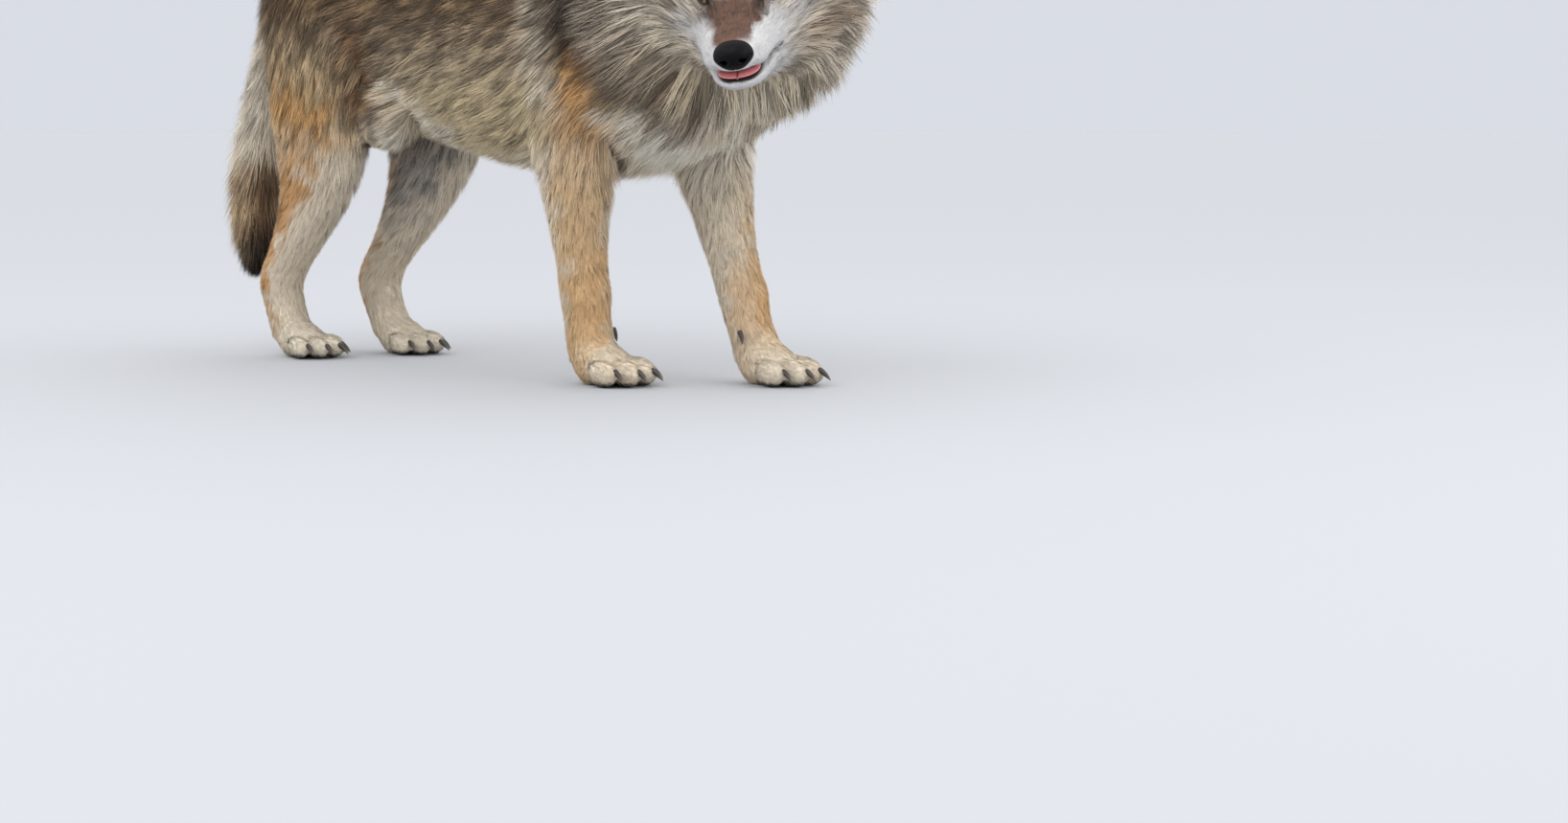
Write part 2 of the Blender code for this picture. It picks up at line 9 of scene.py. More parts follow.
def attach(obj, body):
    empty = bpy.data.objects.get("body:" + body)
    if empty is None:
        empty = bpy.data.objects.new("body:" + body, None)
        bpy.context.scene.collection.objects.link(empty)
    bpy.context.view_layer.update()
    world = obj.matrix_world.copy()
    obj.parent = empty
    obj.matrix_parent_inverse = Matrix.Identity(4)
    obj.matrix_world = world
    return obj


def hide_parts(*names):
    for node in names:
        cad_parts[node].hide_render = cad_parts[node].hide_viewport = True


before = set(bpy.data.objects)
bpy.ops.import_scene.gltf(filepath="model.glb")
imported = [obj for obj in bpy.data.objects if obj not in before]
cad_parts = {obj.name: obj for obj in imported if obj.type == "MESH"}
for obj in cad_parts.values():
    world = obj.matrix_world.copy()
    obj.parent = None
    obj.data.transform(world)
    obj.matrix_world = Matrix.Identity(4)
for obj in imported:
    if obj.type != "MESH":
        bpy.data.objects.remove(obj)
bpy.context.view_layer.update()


# The camera stands at the eye level of someone crouching, off the wolf's right shoulder, and looks
# a little down at it from 3.8 m away.
STAND = np.array([0.0441, 0.0295, 0.0])
CAMERA_AWAY = 3.8
CAMERA_HEIGHT = 0.36
CAMERA_AROUND = np.radians(46.0)
CAMERA_ASIDE = np.radians(5.24)
CAMERA_DOWN = np.radians(6.3)
CAMERA_LENS = 61.88


def add_object(name, data):
    """A new object in the scene."""
    made = bpy.data.objects.new(name, data)
    bpy.context.scene.collection.objects.link(made)
    return made


def aim_camera():
    """Sets the camera at its place round the wolf, turned aside from the middle and then down."""
    made = add_object("camera", bpy.data.cameras.new("camera"))
    made.data.lens = CAMERA_LENS
    made.data.sensor_width = 36.0
    made.location = (
        STAND[0] + CAMERA_AWAY * np.sin(CAMERA_AROUND),
        STAND[1] - CAMERA_AWAY * np.cos(CAMERA_AROUND),
        CAMERA_HEIGHT,
    )
    made.rotation_euler = (np.pi / 2 - CAMERA_DOWN, 0.0, CAMERA_AROUND - CAMERA_ASIDE)
    bpy.context.scene.camera = made


aim_camera()


# The body under the coat. Each part is a row of egg-shaped rings along a path. A ring keeps its
# outline at the tips of the hair and how deep the hair is at its top, sides and underside.
RING_SIDES = 72


def unit(vectors):
    """Vectors divided by their own lengths."""
    return vectors / np.maximum(np.linalg.norm(vectors, axis=-1, keepdims=True), 1e-9)


def ease(low, high, value):
    """A smooth step: 0 up to low, 1 from high on, and an S-curve between them."""
    share = np.clip((value - low) / (high - low), 0.0, 1.0)
    return share * share * (3.0 - 2.0 * share)


def fade(low, high, value):
    """A smooth step down: 1 up to low and 0 from high on."""
    return 1.0 - ease(low, high, value)


def bell(value, width):
    """A bell curve: 1 at zero and 1/e at the width."""
    return np.exp(-((value / width) ** 2))


def metres(rows):
    """Rows of numbers given in millimetres, in metres."""
    return np.array(rows) / 1000


def turns(count):
    """A full turn in even steps, as angles."""
    return np.arange(count) * (2 * np.pi / count)


def through(rows, steps):
    """A Catmull-Rom curve through rows of numbers, with steps new rows in each interval."""
    rows = np.array(rows, dtype=float)
    ends = np.vstack([2 * rows[0] - rows[1], rows, 2 * rows[-1] - rows[-2]])
    a, b, c, d = (ends[k : len(ends) - 3 + k, None] for k in range(4))
    t = (np.arange(steps) / steps)[None, :, None]
    curve = b + 0.5 * t * (c - a + t * (2 * a - 5 * b + 4 * c - d + t * (3 * (b - c) + d - a)))
    return np.vstack([curve.reshape(-1, rows.shape[1]), rows[-1:]])


def turned(yaw, pitch, roll):
    """A turning matrix: roll about X, then pitch about Y, then yaw about Z, in degrees."""
    turn = Matrix.Rotation(np.radians(yaw), 3, "Z") @ Matrix.Rotation(np.radians(pitch), 3, "Y")
    return np.array(turn @ Matrix.Rotation(np.radians(roll), 3, "X"))


# The head's own axes: the first runs back from the nose tip, the second to the wolf's left and the
# third up through the crown.
NOSE_TIP = np.array([0.573, -0.23, 0.431])
HEAD_AXES = turned(-54.0, 20.0, 8.0) * np.array([-1.0, 1.0, 1.0])


def on_head(points):
    """Places given in the head's axes, on the body."""
    return NOSE_TIP + np.asarray(points) @ HEAD_AXES.T


def in_head(points):
    """Places on the body, given in the head's axes."""
    return (points - NOSE_TIP) @ HEAD_AXES


def rings_part(middle, side, up, half, high, low, full, deep):
    """One part of the body: its rings' middles and axes, their sizes and the coat's depths."""
    size = np.stack([half, high, low], axis=1)
    along = np.cumsum(np.linalg.norm(np.diff(middle, axis=0, prepend=middle[:1]), axis=1))
    way = unit(np.gradient(middle, axis=0))
    full = np.broadcast_to(full, half.shape)
    keys = ("middle", "side", "up", "size", "full", "deep", "way", "along")
    return dict(zip(keys, (middle, side, up, size, full, deep, way, along)))


def ring_points(part, share=1.0):
    """The rings of a part under its coat: an egg outline, less a share of the coat's depth."""
    turn = turns(RING_SIDES)
    c, s = np.cos(turn), np.sin(turn)
    deep = part["deep"]
    top, under = np.maximum(s, 0.0) ** 2, np.maximum(-s, 0.0) ** 2
    coat = share * (deep[:, 1:2] * c**2 + deep[:, :1] * top + deep[:, 2:] * under)
    reach = np.where(s > 0, part["size"][:, 1:2], part["size"][:, 2:]) - coat
    wide = part["size"][:, :1] - coat
    power = part["full"][:, None]
    out = np.maximum(wide, 0.001) * np.sign(c) * np.abs(c) ** power
    rise = np.maximum(reach, 0.001) * np.sign(s) * np.abs(s) ** power
    ring = out[..., None] * part["side"][:, None] + rise[..., None] * part["up"][:, None]
    return part["middle"][:, None] + ring


def tube_faces(rings, sides, first=0):
    """Quads between rings of a closed tube, with a fan to a middle point at each end."""
    grid = first + np.arange(rings * sides).reshape(rings, sides)
    ahead = np.roll(grid, -1, axis=1)
    quads = np.stack([grid[:-1], ahead[:-1], ahead[1:], grid[1:]], axis=-1).reshape(-1, 4)
    near, far = first + rings * sides, first + rings * sides + 1
    caps = [(int(b), int(a), near) for a, b in zip(grid[0], ahead[0])]
    caps += [(int(a), int(b), far) for a, b in zip(grid[-1], ahead[-1])]
    return quads.tolist() + caps


def add_tubes(name, tubes):
    """One mesh object made of closed tubes, each an array of rings of points."""
    points, faces, first = [], [], 0
    for rings in tubes:
        ends = np.stack([rings[0].mean(axis=0), rings[-1].mean(axis=0)])
        points.append(np.vstack([rings.reshape(-1, 3), ends]))
        faces += tube_faces(rings.shape[0], rings.shape[1], first)
        first += len(points[-1])
    mesh = bpy.data.meshes.new(name)
    mesh.from_pydata((np.vstack(points) + STAND).tolist(), [], faces)
    return add_object(name, mesh)


X, Y, Z = np.eye(3)


def same(vector, rows):
    """One vector repeated for each row."""
    return np.broadcast_to(vector, (len(rows), 3))


# Rows are in millimetres. The trunk's give the place along the body, the low, widest and high
# levels, the half width, and the coat's depth at the top, sides and belly. The neck's and the
# tail's follow a path.
BACK = 712
BELLY = 276
HALF = 158


def trunk_part():
    """Upright rings from the rump to the chest."""
    rows = through(metres([
        (-508, 500, 550, 605, 40, 14, 14, 14), (-494, 450, 545, 640, 78, 18, 18, 18),
        (-460, 405, 535, 678, 108, 20, 20, 18), (-405, 372, 525, 700, 127, 22, 21, 18),
        (-330, 350, 515, BACK, 130, 24, 22, 20), (-240, 330, 505, BACK + 2, 127, 25, 23, 23),
        (-140, 304, 500, BACK, 135, 26, 24, 26), (-40, BELLY + 7, 495, BACK + 2, 148, 27, 24, 28),
        (60, BELLY - 8, 490, BACK + 10, HALF, 29, 24, 30),
        (140, BELLY - 13, 485, BACK + 22, HALF + 2, 32, 25, 32),
        (220, BELLY - 11, 475, BACK + 14, HALF - 2, 34, 27, 34),
        (290, BELLY + 12, 470, BACK - 14, 148, 34, 29, 36),
        (345, BELLY + 26, 460, BACK - 64, 130, 34, 30, 36),
        (382, BELLY + 52, 450, 570, 96, 30, 30, 32), (398, BELLY + 108, 450, 510, 45, 20, 20, 20),
    ]), 3)
    x, low, wide, high, half = rows[:, :5].T
    middle = np.stack([x, 0 * x, wide], axis=1)
    sizes = half, high - wide, wide - low
    return rings_part(middle, same(Y, x), same(Z, x), *sizes, 0.88, rows[:, 5:])


def neck_part():
    """Rings square to a path from between the shoulders to the back of the head."""
    rows = through(metres([
        (180, 0, 545, 138, 145, 175, 34, 27, 30), (245, 2, 545, 146, 145, 202, 35, 33, 35),
        (305, 8, 540, 156, 142, 212, 36, 40, 40), (360, 10, 530, 165, 130, 210, 34, 46, 43),
        (405, -4, 520, 168, 114, 196, 30, 50, 42), (445, -32, 510, 165, 98, 176, 26, 50, 38),
    ]), 3)
    middle = rows[:, :3]
    way = unit(np.gradient(middle, axis=0))
    side = unit(np.cross(Z, way))
    half, high, low = rows[:, 3:6].T
    return rings_part(middle, side, np.cross(way, side), half, high, low, 0.95, rows[:, 6:])


def tail_part():
    """Rings square to the hanging path of the tail, thin in the bone and deep in the hair."""
    rows = through(metres([
        (-430, 0, 648, 30, 14), (-478, 0, 622, 38, 21),
        (-520, 0, 572, 43, 25), (-550, -2, 495, 47, 30),
        (-577, -5, 400, 53, 36), (-598, -10, 310, 60, 43),
        (-606, -14, 235, 53, 39), (-607, -18, 175, 36, 28),
        (-604, -20, 145, 23, 19), (-601, -20, 120, 11, 9),
    ]), 3)
    middle, radius = rows[:, :3], rows[:, 3]
    way = unit(np.gradient(middle, axis=0))
    side = unit(np.cross(Y, way))
    deep = np.repeat(rows[:, 4:], 3, axis=1)
    sizes = radius * 1.04, radius * 0.94, radius * 0.94
    return rings_part(middle, side, np.cross(way, side), *sizes, 1.0, deep)


# Head rows run back from the nose tip. The muzzle's stop at the lips, and the jaw has its own.
RUFF = 175
LIP_FRONT = -0.0415
LIP_CLIMB = np.tan(np.radians(8.0))
MOUTH_BACK = 0.115


def head_part():
    """Muzzle, stop, brow, cheeks and ruff, as rings square to the head's axis."""
    rows = through(metres([
        (13, -27.5, -10, 6, 20.5, 1, 1, 1), (20, -28.5, -12, 10.5, 29, 1.4, 1.4, 1),
        (32, -29, -15, 16.5, 38.5, 1.6, 1.8, 1), (55, -28, -17.5, 23, 44, 1.8, 2.4, 1),
        (74, -26.5, -18, 28, 47.5, 2, 3, 2), (90, -37, -18, 33, 51.5, 2.2, 4, 4),
        (103, -56, -16, 38.5, 57, 2.4, 5.5, 6.5), (118, -74, -12, 49, 62.5, 3, 8, 10),
        (140, -90, -6, 71, 78, 5, 13, 15), (168, -104, 8, 87, 104, 8, 23, 22),
        (200, -120, 20, 93, 142, 11, 37, 30), (232, -138, 26, 92, RUFF + 10, 14, 52, 37),
        (265, -150, 24, 90, RUFF + 17, 18, 60, 40), (300, -152, 14, 88, RUFF + 8, 22, 58, 40),
    ]), 3)
    back, low, wide, high, half = rows[:, :5].T
    middle = on_head(np.stack([back, 0 * back, wide], axis=1))
    full = 0.8 + np.minimum(back, 0.16)
    side, up = same(HEAD_AXES[:, 1], back), same(HEAD_AXES[:, 2], back)
    return rings_part(middle, side, up, half, high - wide, wide - low, full, rows[:, 5:])


def jaw_part():
    """The lower jaw, narrower than the muzzle, from the chin to under the cheeks."""
    rows = through(metres([
        (19, -50, -43, 14, 1.6), (25, -55, -43, 22.5, 2),
        (38, -58, -42, 31, 3), (55, -60, -40.5, 37.5, 4.5),
        (80, -62, -38.5, 44.5, 8), (100, -69, -37.5, 50, 13),
        (120, -78, -37.5, 54.5, 18),
    ]), 3)
    back, low, wide, half = rows[:, :4].T
    top = LIP_FRONT + LIP_CLIMB * back - 0.001
    middle = on_head(np.stack([back, 0 * back, wide], axis=1))
    deep = rows[:, 4:] * np.array([0.0, 0.6, 1.0])
    side, up = same(HEAD_AXES[:, 1], back), same(HEAD_AXES[:, 2], back)
    return rings_part(middle, side, up, half, top - wide, wide - low, 0.85, deep)


# Leg rows: the place along the body from the foot, the level, how far out from the foot's line,
# the half length fore and aft, the half width and the coat's depth.
FORE_FOOT = {"right": 0.18, "left": 0.343}
HIND_FOOT = {"right": -0.452, "left": -0.386}
FORE_SPREAD = 0.075
HIND_SPREAD = 0.07
SIDES = {"right": -1.0, "left": 1.0}


def leg_part(foot, spread, sign, rows):
    """Level rings down a leg, with the side axis forward and the up axis outward."""
    x, z, out, length, width, deep = through(metres(rows), 3).T
    middle = np.stack([foot + x, sign * (spread + out), z], axis=1)
    depths = np.repeat(deep[:, None], 3, axis=1)
    return rings_part(middle, same(X, x), same(sign * Y, x), length, width, width, 0.97, depths)


def foreleg_part(side):
    """Shoulder, forearm, knee and pastern. The left leg reaches forward from the shoulder."""
    foot = FORE_FOOT[side]
    lean = 1000 * (FORE_FOOT["right"] - foot)
    return leg_part(foot, FORE_SPREAD, SIDES[side], [
        (50 + lean, 600, 10, 60, 40, 20), (36 + 0.92 * lean, 520, 20, 94, 52, 21),
        (14 + 0.78 * lean, 440, 22, 98, 56, 20), (-12 + 0.6 * lean, 365, 16, 84, 54, 17),
        (-17 + 0.44 * lean, 300, 10, 65, 48, 12), (-18 + 0.31 * lean, 245, 6, 52, 42, 9),
        (-16 + 0.22 * lean, 190, 3, 42, 37, 7), (-12 + 0.15 * lean, 150, 2, 38, 34, 5.5),
        (-7 + 0.11 * lean, 120, 2, 39, 35, 5), (-6 + 0.06 * lean, 88, 0, 34, 33, 4.5),
        (0, 55, 0, 35, 34, 4), (6, 26, 0, 34, 33, 3.5),
    ])


def hindleg_part(side):
    """Thigh, gaskin, hock and rear pastern. The left foot stands a little further forward."""
    foot = HIND_FOOT[side]
    lean = 1000 * (HIND_FOOT["right"] - foot)
    return leg_part(foot, HIND_SPREAD, SIDES[side], [
        (56 + lean, 620, 4, 72, 46, 18), (68 + 0.9 * lean, 550, 14, 100, 56, 20),
        (86 + 0.7 * lean, 475, 20, 114, 60, 20), (100 + 0.4 * lean, 400, 20, 112, 57, 19),
        (98 + 0.2 * lean, 330, 16, 102, 52, 16), (82 + 0.15 * lean, 265, 10, 82, 44, 13),
        (46 + 0.14 * lean, 205, 6, 60, 38, 9), (12 + 0.16 * lean, 160, 4, 47, 34, 7),
        (-12 + 0.18 * lean, 130, 3, 42, 32, 5.5), (-23 + 0.15 * lean, 102, 2, 37, 31, 4.8),
        (-16 + 0.07 * lean, 72, 0, 33, 31, 4.2), (-6, 45, 0, 34, 31, 4),
        (2, 24, 0, 32, 31, 3.5),
    ])


parts = {"trunk": trunk_part(), "neck": neck_part(), "tail": tail_part()}
parts |= {"head": head_part(), "jaw": jaw_part()}
for side in SIDES:
    parts["foreleg_" + side] = foreleg_part(side)
    parts["hindleg_" + side] = hindleg_part(side)


def ball(middle, axes, radii, sides=32):
    """The rings of an ellipsoid, which follow each other along its first axis."""
    turn = turns(sides)
    across = np.linspace(0.06, np.pi - 0.06, sides // 2)[:, None]
    ring = np.stack([
        np.broadcast_to(-np.cos(across), (len(across), sides)),
        np.sin(across) * np.cos(turn),
        np.sin(across) * np.sin(turn),
    ], axis=-1)
    return np.asarray(middle) + (ring * radii) @ np.asarray(axes).T


# Paws: four toes in an arc over a sole pad, all a hair's depth smaller than the outline.
FORE_PAW = 0.13
HIND_PAW = 0.118
TOES = [(0.43, -0.27), (0.6, -0.105), (0.6, 0.105), (0.43, 0.27)]
PAW_HAIR = 0.003
paws = {}
for side, sign in SIDES.items():
    paws["fore_" + side] = (np.array([FORE_FOOT[side], sign * FORE_SPREAD, 0.0]), FORE_PAW)
    paws["hind_" + side] = (np.array([HIND_FOOT[side], sign * HIND_SPREAD, 0.0]), HIND_PAW)


def paw_tubes(middle, length):
    """The toes, each a knuckle and a tip, the sole and the bridge up to the pastern."""
    tubes = []
    for ahead, beside in TOES:
        axes = turned(np.degrees(beside * 0.6), 9.0, 0.0)
        place = middle + length * np.array([ahead, beside, 0.15])
        radii = length * np.array([0.235, 0.124, 0.15]) - PAW_HAIR
        tubes.append(ball(place, axes, radii))
    sole = length * np.array([0.36, 0.285, 0.2]) - PAW_HAIR
    tubes.append(ball(middle + length * np.array([0.2, 0.0, 0.165]), np.eye(3), sole))
    bridge = length * np.array([0.39, 0.27, 0.19]) - PAW_HAIR
    tubes.append(ball(middle + length * np.array([0.2, 0.0, 0.26]), turned(0, 22, 0), bridge))
    return tubes


# Ears: a sheet of gristle curved round an opening that faces forward, thick at its root.
EAR_ROWS = metres([
    (-20, 46, 22), (12, 44, 20),
    (34, 39, 16), (56, 32, 12),
    (76, 23, 9), (92, 13, 6),
    (102, 4, 3),
])
EAR_HAIR = 0.0025
EAR_OUT, EAR_SPLAY = 0.066, 0.16
EAR_BACK, EAR_TILT = 0.22, 0.12
EAR_ROOT = 0.078


def ear_tube(sign):
    """Level rings up an ear: its back bulges, its edges come forward and its front is hollow."""
    rise, half, thick = (column[:, None] for column in through(EAR_ROWS, 5).T)
    turn = turns(RING_SIDES)
    c, s = np.cos(turn), np.sin(turn)
    half = np.maximum(half - EAR_HAIR, 0.002)
    gristle = np.minimum(0.003 + 0.1 * thick, thick)
    bulge = np.maximum(thick - EAR_HAIR - gristle, 0.0) * s**2
    out = sign * (EAR_OUT + EAR_SPLAY * rise + half * c)
    wall = gristle * np.sign(s) * np.sqrt(np.abs(s))
    back = EAR_BACK + EAR_TILT * rise - 6.0 * (half * c) ** 2 + bulge + wall
    return on_head(np.stack([back, out, EAR_ROOT + rise + 0 * c], axis=-1))


# The ball of each eye sits in the head under a brow. Its orbit is the mound that the lids cover.
EYE_MIDDLE = np.array([0.125, 0.0355, 0.035])
EYE_RADIUS = 0.0117
LID = 0.0016
EYE_REACH = 0.026


def mirrored(point, sign):
    """A place in the head's axes, on the wolf's left or right."""
    return np.array([point[0], sign * point[1], point[2]])


def face_tubes():
    """Orbits, brow ridges, cheekbones and the pads that the whiskers grow from."""
    lumps = [
        (EYE_MIDDLE, (0.015, 0.014, 0.014)),
        ((0.145, 0.034, 0.046), (0.024, 0.022, 0.013)),
        ((0.172, 0.056, 0.01), (0.04, 0.022, 0.03)),
        ((0.04, 0.023, -0.0155), (0.023, 0.016, 0.0125)),
    ]
    return [
        ball(on_head(mirrored(middle, sign)), HEAD_AXES, radii)
        for middle, radii in lumps
        for sign in SIDES.values()
    ]


# The fold of skin in the groin, ahead of the hind foot and out from the middle.
FOLD_AHEAD, FOLD_OUT = 0.225, 0.076
VOXEL = 0.0023
SKIN_TRIANGLES = 140000


def settle(made):
    """Replaces an object's mesh with the one that its modifiers give."""
    graph = bpy.context.evaluated_depsgraph_get()
    mesh = bpy.data.meshes.new_from_object(made.evaluated_get(graph))
    made.modifiers.clear()
    made.data = mesh
    return made


def rows_of(items, name, kind=np.float32):
    """Three values of each item of a mesh, as rows."""
    flat = np.empty(len(items) * 3, dtype=kind)
    items.foreach_get(name, flat)
    return flat.reshape(-1, 3)


def points_of(made):
    """The places of a mesh's points on the body."""
    return rows_of(made.data.vertices, "co").astype(float) - STAND


def put_points(made, points):
    """Moves a mesh's points to new places on the body."""
    made.data.vertices.foreach_set("co", (points + STAND).astype(np.float32).ravel())
    made.data.update()


def weigh(made, name, weights):
    """Gives a mesh a vertex group, its weights in sixteen even steps."""
    group = made.vertex_groups.new(name=name)
    steps = np.clip(np.round(weights * 16), 0, 16).astype(int)
    for step in range(1, 17):
        group.add(np.flatnonzero(steps == step).tolist(), step / 16, "REPLACE")


def face_share(points):
    """How much of the fine work a place needs: 1 over the face and ears, 0 over the body."""
    back, _, up = in_head(points).T
    muzzle = fade(0.15, 0.185, back)
    ears = ease(0.07, 0.085, up) * fade(0.245, 0.262, back)
    near = fade(0.14, 0.2, np.abs(in_head(points)[:, 1])) * ease(-0.12, -0.08, up)
    return np.maximum(muzzle, ears) * near


def melt_skin():
    """Joins the parts into one skin by a voxel remesh, smooths the body and thins its faces."""
    tubes = [ring_points(part) for part in parts.values()] + face_tubes()
    for side, sign in SIDES.items():
        tubes.append(ear_tube(sign))
        fold = (HIND_FOOT[side] + FOLD_AHEAD, sign * FOLD_OUT, 0.362)
        tubes.append(ball(fold, turned(0.0, 20.0, 0.0), (0.056, 0.022, 0.05)))
    for middle, length in paws.values():
        tubes += paw_tubes(middle, length)
    skin = add_tubes("skin", tubes)
    remesh = skin.modifiers.new("melt", "REMESH")
    remesh.mode = "VOXEL"
    remesh.voxel_size = VOXEL
    settle(skin)
    face = face_share(points_of(skin))
    weigh(skin, "body", 1.0 - face)
    weigh(skin, "trunk", (1.0 - face) * ease(0.27, 0.35, points_of(skin)[:, 2]))
    for group, factor, repeats in (("", 0.5, 4), ("body", 0.5, 30), ("trunk", 0.5, 110)):
        soften = skin.modifiers.new("soften", "SMOOTH")
        soften.factor = factor
        soften.iterations = repeats
        soften.vertex_group = group
    thin = skin.modifiers.new("thin", "DECIMATE")
    thin.ratio = SKIN_TRIANGLES / (2 * len(skin.data.polygons))
    thin.vertex_group = "body"
    thin.vertex_group_factor = 1.0
    settle(skin)
    return skin


def refine(made):
    """Halves the edges of the skin near the eyes."""
    mesh = bmesh.new()
    mesh.from_mesh(made.data)
    close = np.min(eye_places(points_of(made))[0], axis=0) < 0.021
    edges = [edge for edge in mesh.edges if all(close[vert.index] for vert in edge.verts)]
    bmesh.ops.subdivide_edges(mesh, edges=edges, cuts=1)
    bmesh.ops.triangulate(mesh, faces=mesh.faces)
    mesh.to_mesh(made.data)
    mesh.free()


# Each eye looks forward, outward and a little up. Its opening is an almond whose outer corner is
# the higher one, and the lids lie on the ball round it.
GAZE = unit(np.array([-0.8, 0.56, 0.16]))
ALMOND_SLANT = np.radians(24.0)
ALMOND_HALF = np.radians(52.0)
UPPER_LID = np.radians(19.0)
LOWER_LID = np.radians(13.0)


def eye_places(points):
    """For each eye: the distance from its middle, and how far outside its opening a place is.

    The last is in metres along the ball's surface, and is negative within the opening.
    """
    reaches, edges = [], []
    for sign in SIDES.values():
        gaze = mirrored(GAZE, sign)
        across = unit(np.cross(np.array([0.0, 0.0, 1.0]), gaze)) * -sign
        over = -sign * np.cross(gaze, across)
        place = in_head(points) - mirrored(EYE_MIDDLE, sign)
        reach = np.linalg.norm(place, axis=1)
        ahead = place @ gaze
        flat = np.arctan2(place @ across, ahead)
        high = np.arctan2(place @ over, np.hypot(place @ across, ahead))
        c, s = np.cos(ALMOND_SLANT), np.sin(ALMOND_SLANT)
        flat, high = flat * c + high * s, high * c - flat * s
        bow = 1.0 - np.abs(flat / ALMOND_HALF) ** 2
        edge = np.maximum(high - UPPER_LID * bow, -LOWER_LID * bow - high) * EYE_RADIUS
        reaches.append(reach)
        edges.append(np.where((ahead > 0) & (reach < EYE_REACH), edge, 0.02))
    return np.array(reaches), np.array(edges)


def draw_lids(points):
    """Moves the skin in behind each eye's opening and lays the lids on the ball round it."""
    reaches, edges = eye_places(points)
    for sign, reach, edge in zip(SIDES.values(), reaches, edges):
        middle = on_head(mirrored(EYE_MIDDLE, sign))
        lid = EYE_RADIUS + LID + 0.5 * np.maximum(edge, 0.0) ** 1.2
        lid = lid - (LID + 0.0045) * fade(-0.003, 0.0005, edge)
        share = fade(0.004, 0.009, edge) * (reach < 0.03)
        points = points + unit(points - middle) * (share * (lid - reach))[:, None]
    return points


def lip_height(back):
    """The level of the lip line in the head's axes, which climbs towards the corner."""
    return LIP_FRONT + LIP_CLIMB * back


def draw_lips(points, normals):
    """Presses a crease into the cheek along the lip line, up to the corner of the mouth."""
    back, left, up = in_head(points).T
    near = np.exp(-(((up - lip_height(back)) / 0.0028) ** 2))
    share = near * ease(0.055, 0.075, back) * fade(MOUTH_BACK, MOUTH_BACK + 0.012, back)
    return points - normals * (0.003 * share * ease(0.01, 0.02, np.abs(left)))[:, None]


def draw_soles(points):
    """Lowers the soles onto the floor and flattens them there."""
    low = points[:, 2]
    down = low - 0.0032 * fade(0.003, 0.012, low)
    return np.column_stack([points[:, :2], np.where(low < 0.05, np.maximum(down, 0.0003), low)])


def normals_of(made):
    """The direction in which the skin faces at each of its points."""
    return rows_of(made.data.vertices, "normal").astype(float)


skin = melt_skin()
refine(skin)
put_points(skin, draw_lids(points_of(skin)))
put_points(skin, draw_soles(draw_lips(points_of(skin), normals_of(skin))))
skin.data.shade_smooth()


# How the hair lies. Each ring of each part says which way its hair runs and how deep it is, and a
# place on the skin takes the mean of the rings near it, most from the one whose outline it is on.
EAR_MIDDLES = [(0.2218, 0.0684, 0.093), (0.2272, 0.0756, 0.138), (0.232, 0.082, 0.178)]


def ear_path(sign):
    """The root, middle and tip of an ear's axis, on the body."""
    return [on_head(mirrored(place, sign)) for place in EAR_MIDDLES]


def path_part(points, radii, side, up, depth):
    """A part made only to guide the hair along a paw or an ear."""
    middle = through(points, 2)
    radii = np.broadcast_to(radii, (len(middle), 3))
    deep = np.full((len(middle), 3), depth)
    return rings_part(middle, same(side, middle), same(up, middle), *radii.T, 1.0, deep)


guides = dict(parts)
for name, (middle, length) in paws.items():
    path = middle + length * np.array([(0.1, 0, 0.42), (0.4, 0, 0.27), (0.75, 0, 0.12)])
    radii = (0.3 * length, 0.2 * length, 0.2 * length)
    guides["paw_" + name] = path_part(path, radii, Y, Z, PAW_HAIR)
for side, sign in SIDES.items():
    path, radii = ear_path(sign), (0.036, 0.014, 0.014)
    guides["ear_" + side] = path_part(path, radii, HEAD_AXES[:, 1], HEAD_AXES[:, 0], EAR_HAIR)

# Which way the hair runs along each part's path, and how strongly it hangs.
RUNS = {"trunk": -1.0, "neck": -1.0}
HANGS = {"trunk": 0.45, "neck": 0.75, "tail": 0.1, "jaw": -0.05}
BLEND = 9.0
names = list(guides)
owner = np.concatenate([np.full(len(part["middle"]), k) for k, part in enumerate(guides.values())])
rings = {
    key: np.concatenate([part[key] for part in guides.values()])
    for key in ("middle", "side", "up", "way", "size", "deep", "along")
}
rings["run"] = rings["way"] * np.array([RUNS.get(name, 1.0) for name in names])[owner, None]
rings["run"][:, 2] -= np.array([HANGS.get(name, 0.0) for name in names])[owner]
ruff = (owner == names.index("head")) * ease(0.13, 0.26, rings["along"])
rings["run"][:, 2] -= 0.5 * ruff


def from_segment(points, start, end):
    """How far points are from a line between two others."""
    run = end - start
    share = np.clip((points - start) @ run / (run @ run), 0.0, 1.0)
    return np.linalg.norm(points - start - share[..., None] * run, axis=-1)


